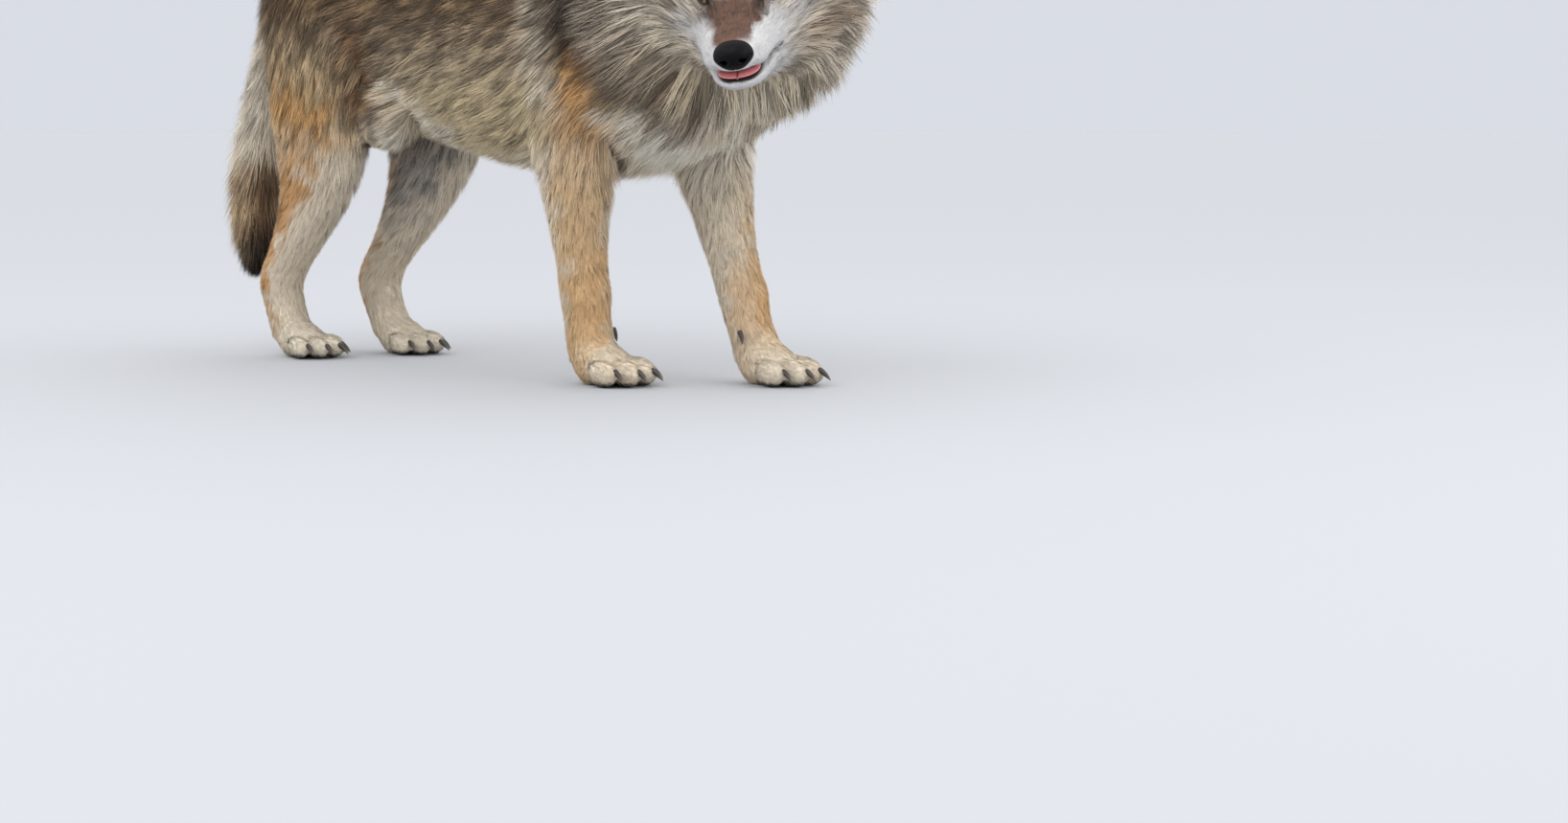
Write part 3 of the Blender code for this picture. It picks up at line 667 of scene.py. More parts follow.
def lie_of(points, normals):
    """The lie, the coat's depth and swell, each part's share and the unwrapped place of points.

    The weight of a ring falls off as the exponential of how far outside its outline a point is.
    The hair parts round the eyes and is short at the roots of the ears.
    """
    got = []
    for first in range(0, len(points), 20000):
        place = points[first : first + 20000, None] - rings["middle"]
        across = np.einsum("nrk,rk->nr", place, rings["side"]) / rings["size"][:, 0]
        rise = np.einsum("nrk,rk->nr", place, rings["up"])
        rise = rise / np.where(rise > 0, rings["size"][:, 1], rings["size"][:, 2])
        step = 0.5 * rings["size"].mean(axis=1)
        ahead = np.einsum("nrk,rk->nr", place, rings["way"])
        away = np.sqrt(across**2 + rise**2 + (ahead / step) ** 2)
        weight = np.exp(-BLEND * (away - away.min(axis=1, keepdims=True)))
        weight /= weight.sum(axis=1, keepdims=True)
        upright = np.where(rise > 0, rings["deep"][:, 0], rings["deep"][:, 2])
        coat = (across**2 * rings["deep"][:, 1] + rise**2 * upright) / (across**2 + rise**2 + 1e-9)
        swell = 1.0 / np.maximum(1.0 - coat / rings["size"].mean(axis=1), 0.25)
        best = away.argmin(axis=1)
        row = np.arange(len(best))
        turn = np.arctan2(across[row, best], rise[row, best])
        far = rings["along"][best] + np.clip(ahead[row, best], -0.03, 0.03)
        part = [weight[:, owner == k].sum(axis=1) for k in range(len(names))]
        flow = weight @ rings["run"]
        thick = (weight * coat).sum(axis=1)
        got.append(np.column_stack([flow, thick, (weight * swell).sum(axis=1), turn, far, *part]))
    got = np.concatenate(got)
    lie, deep, swell, flat, shares = got[:, :3], got[:, 3], got[:, 4], got[:, 5:7], got[:, 7:]
    reaches, edges = eye_places(points)
    for (side, sign), reach, edge in zip(SIDES.items(), reaches, edges):
        near = bell(np.maximum(edge, 0.0), 0.006) * (reach < EYE_REACH)
        out = unit(points - on_head(mirrored(EYE_MIDDLE, sign)))
        lie = lie + out * (2.5 * near)[:, None]
        deep = deep * (1.0 - 0.6 * near)
        root, _, tip = ear_path(sign)
        close = np.exp(-((from_segment(points, root, tip) / 0.065) ** 4))
        deep = deep * (1.0 - 0.9 * close)
        lie = lie + (2.0 * close)[:, None] * unit(tip - root)
        groin = np.array([HIND_FOOT[side] + FOLD_AHEAD, sign * FOLD_OUT, 0.335])
        deep = deep * (1.0 - 0.55 * spot(points, groin, (0.06, 0.05, 0.06)))
    lie = unit(lie - normals * (lie * normals).sum(axis=1, keepdims=True))
    return lie, np.maximum(deep, 0.0008), swell, dict(zip(names, shares.T)), flat


# The markings, worn alike by the skin and by the coat. Colours are as the eye sees them, 0 to 255.
PALETTE = {
    "white": (206, 204, 203),
    "pale": (252, 242, 224),
    "cream": (240, 227, 205),
    "olive": (214, 193, 152),
    "grey": (198, 181, 157),
    "saddle": (131, 106, 77),
    "tan": (226, 186, 134),
    "orange": (214, 160, 98),
    "brown": (120, 79, 46),
    "bridge": (92, 57, 35),
    "slate": (204, 196, 188),
    "dark": (58, 44, 32),
    "black": (22, 18, 16),
    "mouth": (60, 24, 24),
}
PALETTE = {
    name: ((np.array(colour) / 255 + 0.055) / 1.055) ** 2.4 for name, colour in PALETTE.items()
}
waving = np.random.default_rng(5)


def waves(size):
    """A soft random field: the sum of sines that cross at random, about as long as size."""
    count = 14
    steps = unit(waving.normal(size=(count, 3))) * waving.uniform(0.6, 1.7, (count, 1))
    steps = steps * 2 * np.pi / size
    shifts = waving.uniform(0, 2 * np.pi, count)
    return lambda points: np.sin(points @ steps.T + shifts).sum(axis=1) / np.sqrt(count / 2)


# The widest field isn't used. Its draws come first in the order of draws, so they stay.
_, patchy, fine, finer = (waves(size) for size in (0.11, 0.042, 0.018, 0.008))


def spot(points, middle, radii):
    """A soft round patch: a bell curve of the distance from its middle."""
    return np.exp(-(((points - middle) / radii) ** 2).sum(axis=1))


def stripe(points, start, end, width):
    """A soft band along a line: a bell curve of the distance from it."""
    return bell(from_segment(points, np.array(start), np.array(end)), width)


def mouth_gap(back):
    """How far the lips stand apart, from the front to where they meet."""
    return 0.0098 * np.clip(1.0 - back / 0.095, 0.0, 1.0)


# The hind leg's level, its middle from the foot and its half length.
HOCK = metres([
    (24, 2, 32), (102, -23, 37), (130, -12, 42), (160, 12, 47),
    (205, 46, 60), (265, 82, 82), (330, 98, 102),
])


def markings(points, normals, shares):
    """The coat's colour and how dark its tips are, laid on in layers over grey."""
    wander = [patchy(points), patchy(points[:, ::-1]), patchy(points[:, [1, 2, 0]])]
    wander = np.stack(wander, axis=1)
    x, y, z = (points + 0.008 * wander).T
    both = np.stack([x, np.abs(y), z], axis=1)
    side_on = both * np.array([1.0, 0.0, 1.0])
    colour = np.tile(PALETTE["grey"], (len(points), 1))
    tips = np.full(len(points), 0.5)

    def lay(name, mask, dark=None):
        nonlocal colour, tips
        mask = np.clip(mask, 0.0, 1.0)
        colour = colour + mask[:, None] * (PALETTE[name] - colour)
        if dark is not None:
            tips = tips + mask * (dark - tips)

    # Trunk and neck.
    lay("olive", 0.9 * fade(0.36, 0.5, z), 0.3)
    lay("saddle", ease(0.36, 0.53, z - 0.09 * ease(0.12, 0.24, x)), 0.85)
    lay("cream", fade(0.285, 0.335, z), 0.06)
    for much, start, end, width in (
        (0.6, (0.14, 0.0, 0.57), (0.155, 0.0, 0.39), 0.019),
        (0.7, (0.158, 0.0, 0.39), (0.225, 0.0, 0.345), 0.02),
    ):
        lay("cream", much * stripe(side_on, start, end, width), 0.12)
    lay("dark", 1.7 * spot(both, (0.232, 0.14, 0.485), (0.055, 0.14, 0.095)), 1.0)
    shoulder = stripe(side_on, (0.226, 0.0, 0.41), (0.198, 0.0, 0.29), 0.036)
    lay("orange", 0.85 * (shoulder * ease(0.04, 0.09, np.abs(y))), 0.3)
    neck = np.clip(2.0 * shares["neck"] + shares["head"] + shares["trunk"], 0.0, 1.0)
    # The chest is pale in its own right, and is painted paler still than the face's white: painted
    # light where it lies in shade under the head.
    lay("pale", ease(0.22, 0.27, x) * fade(0.345, 0.38, z), 0.0)
    band = neck * stripe(both, (0.285, 0.135, 0.41), (0.345, 0.06, 0.352), 0.027)
    lay("brown", 0.95 * band, 0.95)
    lay("dark", 0.35 * band, 1.0)
    # Thigh.
    tail = shares["tail"]
    lay("tan", 0.85 * spot(both, (-0.375, 0.12, 0.325), (0.1, 0.09, 0.1)), 0.3)
    for much, start, end in (
        (0.8, (-0.4, 0.0, 0.375), (-0.325, 0.0, 0.342)),
        (0.9, (-0.33, 0.0, 0.335), (-0.432, 0.0, 0.255)),
    ):
        lay("orange", much * stripe(side_on, start, end, 0.034) * (1.0 - tail), 0.35)
    lay("brown", 0.95 * stripe(side_on, (-0.25, 0.0, 0.45), (-0.245, 0.0, 0.36), 0.036), 0.8)
    lay("cream", 0.95 * (1.0 - tail) * fade(-0.475, -0.43, x) * fade(0.44, 0.52, z), 0.06)
    lay("pale", 0.75 * stripe(side_on, (-0.185, 0.0, 0.385), (-0.095, 0.0, 0.325), 0.022), 0.12)
    lay("pale", 0.8 * spot(both, (-0.21, 0.1, 0.315), (0.036, 0.08, 0.042)), 0.12)
    # Legs: tan in front, cream behind, grey on the inside of the thighs.
    lower = fade(0.26, 0.36, z)
    for side, sign in SIDES.items():
        fore, hind = (
            shares[f"{end}leg_{side}"] + shares[f"paw_{end}_{side}"] for end in ("fore", "hind")
        )
        front = ease(-0.03, 0.015, x - FORE_FOOT[side] + 0.012)
        lay("cream", fore * lower, 0.04)
        outer = ease(-0.02, 0.015, sign * y - FORE_SPREAD)
        lay("tan", fore * lower * (0.3 + 0.55 * front) * (0.45 + 0.55 * outer), 0.06)
        knee = (FORE_FOOT[side], sign * FORE_SPREAD, 0.115)
        lay("orange", 0.45 * fore * front * spot(points, knee, (0.06, 0.06, 0.07)), 0.08)
        lay("cream", hind * lower, 0.04)
        lay("tan", 0.15 * hind * lower, 0.06)
        heel = np.interp(z, HOCK[:, 0], HOCK[:, 1]) - (x - HIND_FOOT[side])
        heel = 0.8 * heel / np.interp(z, HOCK[:, 0], HOCK[:, 2]) + 13.0 * (sign * y - 0.072)
        heel = ease(0.15, 0.55, heel)
        lay("orange", 0.9 * hind * heel * fade(0.27, 0.33, z) * ease(0.03, 0.08, z), 0.1)
        string = stripe(side_on, (-0.428, 0.0, 0.262), (-0.455, 0.0, 0.185), 0.02)
        lay("brown", 0.45 * hind * string, 0.3)
        inner = fade(0.045, 0.075, sign * y) * ease(0.15, 0.27, z) * fade(0.33, 0.4, z)
        lay("slate", 0.9 * hind * inner, 0.4)
        for end in ("fore_", "hind_"):
            paw = shares["paw_" + end + side]
            lay("cream", 0.8 * paw * fade(0.02, 0.085, z), 0.02)
            lay("black", 0.95 * paw * fade(0.004, 0.009, points[:, 2]), 0.5)
    # Tail: grey-brown outside, cream above, dark inside and at its tip.
    lay("saddle", 0.2 * tail, 0.55)
    lay("tan", 0.7 * tail * fade(0.27, 0.33, z), 0.5)
    lay("cream", 0.9 * tail * ease(0.25, 0.33, z) * fade(0.46, 0.56, z), 0.15)
    inner = ease(-0.01, 0.016, (x + 0.604) * 0.69 + (y + 0.012) * 0.72) * fade(0.25, 0.31, z)
    lay("brown", tail * inner, 0.95)
    lay("dark", 0.8 * tail * inner * fade(0.2, 0.27, z), 1.0)
    lay("black", 0.97 * tail * fade(0.145, 0.195, z), 1.0)
    # Head.
    back, left, up = in_head(points + 0.003 * wander).T
    out = np.abs(left)
    place = np.stack([back, out, up], axis=1)
    head = np.clip(shares["head"] + shares["jaw"], 0.0, 1.0)
    lay("grey", head, 0.5)
    lay("cream", 0.7 * head * ease(0.17, 0.24, back), 0.4)
    lay("saddle", head * ease(0.035, 0.065, up) * ease(0.13, 0.16, back), 0.55)
    brow = 0.6 * head * ease(0.01, 0.05, up) * ease(0.09, 0.12, back) * fade(0.045, 0.06, out)
    lay("brown", brow, 0.35)
    lay("cream", 0.85 * head * stripe(place, (0.08, 0.045, -0.03), (0.18, 0.1, -0.03), 0.036), 0.15)
    cheek = stripe(place, (0.08, 0.05, -0.004), (0.15, 0.08, 0.004), 0.024)
    lay("white", 0.95 * head * cheek, 0.02)
    lay("white", 0.8 * head * spot(place, (0.09, 0.045, -0.03), (0.045, 0.03, 0.03)), 0.02)
    muzzle = head * fade(0.1, 0.125, back)
    lay("white", muzzle * fade(0.0, 0.02, up - 0.036), 0.0)
    edge = 0.021 + 0.25 * np.clip(back - 0.02, 0.0, 1.0)
    bridge = 0.95 * muzzle * ease(-0.006, 0.006, up - 0.16 * back)
    lay("bridge", bridge * fade(-0.003, 0.005, out - edge), 0.2)
    lay("white", head * fade(-0.065, -0.035, up) * fade(0.13, 0.19, back), 0.0)
    corner = stripe(place, (0.086, 0.036, 0.016), (0.114, 0.031, 0.036), 0.007)
    lay("dark", 0.9 * head * corner, 0.5)
    place = np.stack([back, left, up], axis=1)
    lay("brown", 0.95 * head * spot(place, (0.19, 0.118, -0.035), (0.055, 0.04, 0.03)), 0.5)
    # Ears: brown behind, cream in the hollow and dark at the rim. Bare skin: the lids, the lips and
    # the inside of the mouth.
    _, edges = eye_places(points)
    lay("black", 0.95 * bell(edges.min(axis=0), 0.0026), 0.3)
    back, left, up = in_head(points).T
    rise = up - EAR_ROOT
    ears = 0.0
    for sign in SIDES.values():
        root, _, tip = ear_path(sign)
        ears = ears + fade(0.046, 0.054, from_segment(points, root, tip)) * ease(-0.004, 0.01, rise)
    across = np.abs(left) - EAR_OUT - EAR_SPLAY * rise
    wide = np.maximum(np.interp(rise, EAR_ROWS[:, 0], EAR_ROWS[:, 1]), 0.004)
    rim = np.minimum(np.abs(across) / wide, 1.0)
    hollow = ears * fade(-0.35, 0.1, (in_head(points + normals) - in_head(points))[:, 0])
    lay("brown", 0.7 * ears, 0.45)
    lay("cream", 0.9 * hollow * ease(0.004, 0.02, rise), 0.04)
    # Deep in the hollow, near the root and away from the rim, the hair is grey: partly its own
    # colour and partly painted shade in the ear's cup.
    lay("slate", 0.7 * hollow * fade(0.2, 0.65, rim) * fade(0.045, 0.085, rise), 0.3)
    lay("dark", 0.6 * ears * ease(0.8, 0.98, rim), 0.6)
    above = up - lip_height(back)
    inside = (back < 0.09) * ease(-0.001, 0.001, above) * fade(0.0, 0.002, above - mouth_gap(back))
    lay("mouth", head * inside, 0.0)
    lip = ease(-0.0048, -0.003, above) * fade(0.0005, 0.0025, above)
    lay("black", 0.97 * head * lip * fade(MOUTH_BACK, MOUTH_BACK + 0.006, back), 0.0)
    return colour, tips


def paint(mesh, name, colours):
    """Keeps a colour for each point of a mesh."""
    layer = mesh.color_attributes.new(name, "FLOAT_COLOR", "POINT")
    full = np.column_stack([np.clip(colours, 0.0, 1.0), np.ones(len(colours))])
    layer.data.foreach_set("color", full.astype(np.float32).ravel())


skin_points, skin_normals = points_of(skin), normals_of(skin)
_, skin_deep, skin_swell, skin_shares, _ = lie_of(skin_points, skin_normals)
skin_colour, _ = markings(skin_points, skin_normals, skin_shares)
# The skin is painted darker where the coat over it is deep: painted shade under the hair.
paint(skin.data, "hair_colour_and_shade", skin_colour * (0.7 + 0.3 * np.exp(-skin_deep / 0.004))[:, None])


def attribute_material(name, attribute, roughness, noise_scale, noise_range, level=0.3):
    """A Principled material: a colour kept by the mesh's points, broken up by fine noise."""
    material = bpy.data.materials.new(name)
    material.use_nodes = True
    nodes, links = material.node_tree.nodes, material.node_tree.links
    shader = nodes["Principled BSDF"]
    tone = nodes.new("ShaderNodeAttribute")
    tone.attribute_name = attribute
    place = nodes.new("ShaderNodeTexCoord")
    noise = nodes.new("ShaderNodeTexNoise")
    noise.inputs["Scale"].default_value = noise_scale
    noise.inputs["Detail"].default_value = 3.0
    spread = nodes.new("ShaderNodeMapRange")
    spread.inputs["To Min"].default_value = 1.0 - noise_range
    spread.inputs["To Max"].default_value = 1.0 + noise_range
    mixed = nodes.new("ShaderNodeVectorMath")
    mixed.operation = "SCALE"
    links.new(place.outputs["Object"], noise.inputs["Vector"])
    links.new(noise.outputs["Fac"], spread.inputs["Value"])
    links.new(tone.outputs["Color"], mixed.inputs["Vector"])
    links.new(spread.outputs["Result"], mixed.inputs["Scale"])
    links.new(mixed.outputs["Vector"], shader.inputs["Base Color"])
    shader.inputs["Roughness"].default_value = roughness
    shader.inputs["Specular IOR Level"].default_value = level
    return material


def add_bump(material, texture, scale, distance, strength=0.6):
    """Gives a material a bumped surface from a noise or Voronoi texture."""
    nodes, links = material.node_tree.nodes, material.node_tree.links
    place = nodes.new("ShaderNodeTexCoord")
    pattern = nodes.new(texture)
    pattern.inputs["Scale"].default_value = scale
    bump = nodes.new("ShaderNodeBump")
    bump.inputs["Distance"].default_value = distance
    bump.inputs["Strength"].default_value = strength
    links.new(place.outputs["Object"], pattern.inputs["Vector"])
    links.new(pattern.outputs[0], bump.inputs["Height"])
    links.new(bump.outputs["Normal"], nodes["Principled BSDF"].inputs["Normal"])


skin_look = attribute_material("skin under the hair", "hair_colour_and_shade", 0.8, 220.0, 0.2)
skin.data.materials.append(skin_look)
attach(skin, "root")
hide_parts("head", "jaw", "neck", "trunk", "tail", *("ear_" + side for side in SIDES))
for side in SIDES:
    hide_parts("foreleg_" + side, "hindleg_" + side, "paw_fore_" + side, "paw_hind_" + side)


# The coat: locks of tufts. A tuft is a thin three-sided spike rooted in the skin, which leans over
# and lies along the body with its tip at the coat's outline.
random = np.random.default_rng(11)


def hair_length(deep):
    """Hair that lies down is about twice as long as its coat is deep."""
    return 0.005 + 1.9 * deep


def tuft_width(deep):
    """Half the width of a tuft at its widest."""
    return np.minimum(0.00034 + 0.019 * deep, 0.00095)


skin.data.calc_loop_triangles()
corners = rows_of(skin.data.loop_triangles, "vertices", np.int32)
spans = skin_points[corners]
areas = np.linalg.norm(np.cross(spans[:, 1] - spans[:, 0], spans[:, 2] - spans[:, 0]), axis=1) / 2
centres = spans.mean(axis=1)
face_deep, face_swell = (value[corners].mean(axis=1) for value in (skin_deep, skin_swell))
crowd = face_swell / (tuft_width(face_deep) * hair_length(face_deep))


NOSE_DEPTH, NOSE_DROP = 0.022, 0.008
NOSE_HALF = (0.025, 0.018)
NOSE_BARE = (0.0235, 0.0255, 0.019)


def bare(points):
    """Where no hair grows: soles, lips, the mouth, the eyes' openings and under the nose."""
    back, left, up = in_head(points).T
    above = up - lip_height(back)
    mouth = (above > -0.0035) & (above < mouth_gap(back) + 0.0005) & (back < 0.09)
    crease = (np.abs(above + 0.001) < 0.0048) & (back < MOUTH_BACK - 0.004)
    from_nose = np.stack([back - NOSE_DEPTH, left, up + NOSE_DROP]) / np.array(NOSE_BARE)[:, None]
    nose = from_nose[0] ** 2 + from_nose[1] ** 2 + from_nose[2] ** 2 < 1.0
    reaches, edges = eye_places(points)
    eye = ((edges < 0.0012) & (reaches < 0.02)).any(axis=0)
    near = np.abs(left) < 0.06
    return (near & (mouth | crease | nose)) | eye | (points[:, 2] < 0.006)


def scatter(weight):
    """Random places on the skin, as many in each triangle as its weight says, spread evenly."""
    total = np.cumsum(weight)
    count = int(total[-1])
    pick = np.searchsorted(total, (np.arange(count) + random.random(count)) * (total[-1] / count))
    pick = np.minimum(pick, len(weight) - 1)
    u, v = random.random((2, count))
    over = u + v > 1.0
    u, v = np.where(over, 1.0 - u, u), np.where(over, 1.0 - v, v)
    return pick, np.stack([1.0 - u - v, u, v], axis=1)[..., None]


def near_skin(points):
    """The nearest places on the skin to points."""
    mesh = bpy.data.meshes.new("seeds")
    mesh.vertices.add(len(points))
    mesh.vertices.foreach_set("co", (points + STAND).astype(np.float32).ravel())
    seeds = add_object("seeds", mesh)
    wrap = seeds.modifiers.new("wrap", "SHRINKWRAP")
    wrap.target = skin
    wrap.wrap_method = "NEAREST_SURFACEPOINT"
    settle(seeds)
    found = points_of(seeds)
    bpy.data.objects.remove(seeds)
    return found


def grow(weight, lock, draw):
    """Locks of tufts on the skin where the weight says. Returns roots, tips and their values.

    A lock is a disc of tufts whose tips draw together by a share.
    """
    pick, bary = scatter(weight / lock)
    middle = (spans[pick] * bary).sum(axis=1)
    normal = unit((skin_normals[corners[pick]] * bary).sum(axis=1))
    lie, deep, _, shares, flat = lie_of(middle, normal)
    colour, tips = markings(middle + lie * (0.55 * hair_length(deep))[:, None], normal, shares)
    count = len(middle)
    lie = unit(lie + np.cross(normal, lie) * random.normal(0.0, 0.15, count)[:, None])
    side = np.cross(normal, lie)
    reach = 1.2 * np.sqrt(lock * areas[pick] / (np.pi * weight[pick]))
    streak = 0.6 * fine(middle) + 0.35 * patchy(middle) + 0.55 * finer(middle)
    tone = np.exp((0.03 + 0.2 * tips) * streak + random.normal(0.0, 0.04 + 0.1 * tips))
    tips = np.clip(tips - 0.45 * streak * ease(0.0, 0.2, tips), 0.0, 1.0)
    lift = random.uniform(0.85, 1.1, count)
    turn = random.uniform(0.0, 2 * np.pi, (count, lock))
    out = reach[:, None] * np.sqrt(random.random((count, lock)))
    aside = (out * np.cos(turn))[..., None] * side[:, None]
    along = (out * np.sin(turn))[..., None] * lie[:, None]
    length = (hair_length(deep)[:, None] * random.uniform(0.75, 1.15, (count, lock)))[..., None]
    depth = (deep * lift)[:, None, None] * random.uniform(0.7, 1.0, (count, lock, 1))
    root = middle[:, None] + aside + along
    wander = random.normal(0.0, 0.06, (count, lock, 1)) * length * side[:, None]
    lifted = normal[:, None] * (0.5 * depth + 0.002)
    tip = root + lie[:, None] * length * 0.96 - draw * aside + lifted + wander
    many = count * lock
    tip = tip.reshape(many, 3)
    feet = near_skin(np.concatenate([root.reshape(many, 3), tip])).reshape(2, many, 3)
    rise = unit(tip - feet[1])
    each = {
        "root": feet[0],
        "tip": feet[1] + rise * depth.reshape(many, 1) * random.uniform(0.8, 1.0, (many, 1)),
        "normal": np.repeat(normal, lock, axis=0),
        "rise": rise,
        "deep": np.repeat(deep, lock),
        "colour": np.repeat(colour * tone[:, None], lock, axis=0)
        * np.exp(random.normal(0.0, 0.06, (many, 1))),
        "ink": np.repeat(tips, lock),
        "flat": np.repeat(flat, lock, axis=0) + random.normal(0.0, 1.0, (many, 2)) * (0.01, 0.002),
    }
    kept = ~bare(feet[0])
    return {key: value[kept] for key, value in each.items()}


def spikes(each, width, roll):
    """Three corners round each root and one at the tip, and the normals of all four.

    Two corners lie across the tuft and one stands over them, all turned about it by roll. The
    normals lean from the skin's own towards the corner's, so the coat takes the light softly.
    """
    way = unit(each["tip"] - each["root"])
    across = unit(np.cross(each["normal"], way))
    over = np.cross(way, across)
    c, s = np.cos(roll), np.sin(roll)
    across, over = across * c + over * s, over * c - across * s
    root = each["root"] - 0.0006 * each["normal"]
    outward = [-across, over, across]
    points = [root - across * width, root + over * width * 0.6, root + across * width, each["tip"]]
    normals = [unit(0.75 * each["normal"] + 0.25 * out) for out in outward] + [each["rise"]]
    return np.stack(points, axis=1), np.stack(normals, axis=1)


TUFT_FACES = np.array([(1, 0, 3), (2, 1, 3), (0, 2, 3)])
TUFT_SHARES = np.array([0.0, 0.0, 0.0, 1.0])[None, :, None]


def add_triangles(name, points, normals, faces, colours, places):
    """A mesh object of triangles, with a colour for each point and a map of the unwrapped skin."""
    mesh = bpy.data.meshes.new(name)
    mesh.vertices.add(len(points))
    mesh.vertices.foreach_set("co", (points + STAND).astype(np.float32).ravel())
    mesh.loops.add(faces.size)
    mesh.loops.foreach_set("vertex_index", faces.astype(np.int32).ravel())
    mesh.polygons.add(len(faces))
    mesh.polygons.foreach_set("loop_start", np.arange(0, faces.size, 3, dtype=np.int32))
    mesh.update(calc_edges=True)
    paint(mesh, "hair_colour_and_shade", colours)
    layer = mesh.uv_layers.new(name="OFBake")
    layer.uv.foreach_set("vector", places[faces.ravel()].astype(np.float32).ravel())
    mesh.shade_smooth()
    mesh.normals_split_custom_set_from_vertices(normals.tolist())
    return add_object(name, mesh)


PATCH = 0.003
FLOOR_GAP = 0.0006
coat_finish = attribute_material("hair", "hair_colour_and_shade", 0.6, 220.0, 0.12, 0.25)


def add_coat(name, where, cover, lock=12, draw=0.5):
    """One piece of the coat: tufts where the mask says, so many layers deep."""
    each = grow(areas * crowd * where * cover, lock, draw)
    low, high = each["flat"].min(axis=0), each["flat"].max(axis=0)
    spread = PATCH + (1.0 - 2 * PATCH) * (each["flat"] - low) / (high - low)
    many = len(each["ink"])
    guard = random.random(many) < each["ink"]
    ink = np.where(guard, random.uniform(0.55, 0.95, many), 0.08 * each["ink"])[:, None, None]
    width = tuft_width(each["deep"])[:, None] * random.uniform(0.8, 1.2, (many, 1))
    corner, normals = spikes(each, width, random.uniform(-0.6, 0.6, (many, 1)))
    corner[..., 2] = np.maximum(corner[..., 2], FLOOR_GAP)
    tone = each["colour"][:, None]
    # Each tuft is painted darker at its root, partly the grey of the underwool and partly painted
    # shade deep in the coat, and a little lighter than its own colour at its tip as painted light
    # on the coat's outside. The dark tips of the guard hairs are their own colour.
    tip = tone * 1.08 + ink * (PALETTE["black"] - tone)
    foot = tone * (0.88 - 0.3 * guard[:, None, None])
    colours = foot + TUFT_SHARES * (tip - foot)
    places = np.stack([
        spread[:, :1] + PATCH * np.array([-0.5, 0.0, 0.5, 0.0]),
        spread[:, 1:] + PATCH * (TUFT_SHARES[..., 0] - 0.5),
    ], axis=-1)
    faces = TUFT_FACES + np.arange(many)[:, None, None] * 4
    flat = [grid.reshape(-1, grid.shape[-1]) for grid in (corner, normals, faces, colours, places)]
    coat = add_triangles(name, *flat)
    coat.data.materials.append(coat_finish)
    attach(coat, "root")


face_shares = np.stack([skin_shares[name][corners].mean(axis=1) for name in names])
region = np.array(names)[np.argmax(face_shares, axis=0)]
back, _, up = in_head(centres).T
grows = ~bare(centres)
ears = np.isin(region, ["ear_left", "ear_right"])
hollow = ears & (back < 0.222 + EAR_TILT * (up - EAR_ROOT)) & (up > 0.09)


def on(*which):
    """A mask of the skin's triangles that belong to some parts and grow hair."""
    return np.isin(region, which) & grows


front = on("head", "jaw") & (back < 0.15)
right = centres[:, 1] < 0.0
add_coat("coat_face", front, 3.4, 8, 0.3)
add_coat("coat_ears", ears * np.where(hollow, 0.7, 1.0) * grows, 2.6, 8, 0.3)
add_coat("coat_ruff", on("head", "jaw") & ~front, 11.0, 18, 0.4)
add_coat("coat_neck", on("neck"), 11.0, 18, 0.4)
add_coat("coat_trunk_right", on("trunk") & right, 6.5, 16, 0.4)
add_coat("coat_trunk_left", on("trunk") & ~right, 6.5, 16, 0.4)
add_coat("coat_tail", on("tail"), 9.0, 16, 0.4)
for side in SIDES:
    add_coat("coat_foreleg_" + side, on("foreleg_" + side), 3.2, 12, 0.35)
    add_coat("coat_hindleg_" + side, on("hindleg_" + side), 3.2, 12, 0.35)
add_coat("coat_paws", on(*("paw_" + name for name in paws)), 3.0, 8, 0.3)


# Eyes: a ball with a round black pupil in an amber ring, and a clear bulge over them.
def face_outwards(made):
    """Turns all the faces of closed shapes outwards and shades them smooth."""
    mesh = bmesh.new()
    mesh.from_mesh(made.data)
    bmesh.ops.recalc_face_normals(mesh, faces=mesh.faces)
    mesh.to_mesh(made.data)
    mesh.free()
    made.data.shade_smooth()


def mount(made, node, material):
    """Puts a finished piece in the place of a CAD node."""
    face_outwards(made)
    made.data.materials.append(material)
    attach(made, "root")
    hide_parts(node)


def blend_tones(value, stops):
    """Colours along a scale, from rows of a value and a colour of the palette."""
    at = [stop[0] for stop in stops]
    tones = np.array([stop[1] for stop in stops])
    return np.stack([np.interp(value, at, tones[:, k]) for k in range(3)], axis=1)


PUPIL, IRIS = 0.24, 0.6
AMBER, GOLD = (0.17, 0.075, 0.016), (0.34, 0.18, 0.045)
wet = attribute_material("eye", "eye_colour", 0.12, 900.0, 0.25, 0.3)
wet.node_tree.nodes["Principled BSDF"].inputs["Coat Weight"].default_value = 0.4
for side, sign in SIDES.items():
    gaze = mirrored(GAZE, sign)
    over = unit(np.cross(gaze, (0.0, 1.0, 0.0)))
    axes = HEAD_AXES @ np.stack([gaze, np.cross(over, gaze), over], axis=1)
    middle = on_head(mirrored(EYE_MIDDLE, sign))
    eye = add_tubes("eye_ball_" + side, [ball(middle, axes, (EYE_RADIUS,) * 3, 64)])
    out = points_of(eye) - middle
    angle = np.arccos(np.clip(unit(out) @ axes[:, 0], -1.0, 1.0))
    put_points(eye, middle + out * (1.0 + 0.09 * fade(0.0, IRIS + 0.05, angle))[:, None])
    tones = [
        (0.0, PALETTE["black"]), (PUPIL, PALETTE["black"]), (PUPIL + 0.05, AMBER), (0.45, GOLD),
        (IRIS - 0.06, AMBER), (IRIS, PALETTE["black"]), (IRIS + 0.1, (0.05, 0.03, 0.02)),
    ]
    paint(eye.data, "eye_colour", blend_tones(angle, tones))
    mount(eye, "eye_" + side, wet)


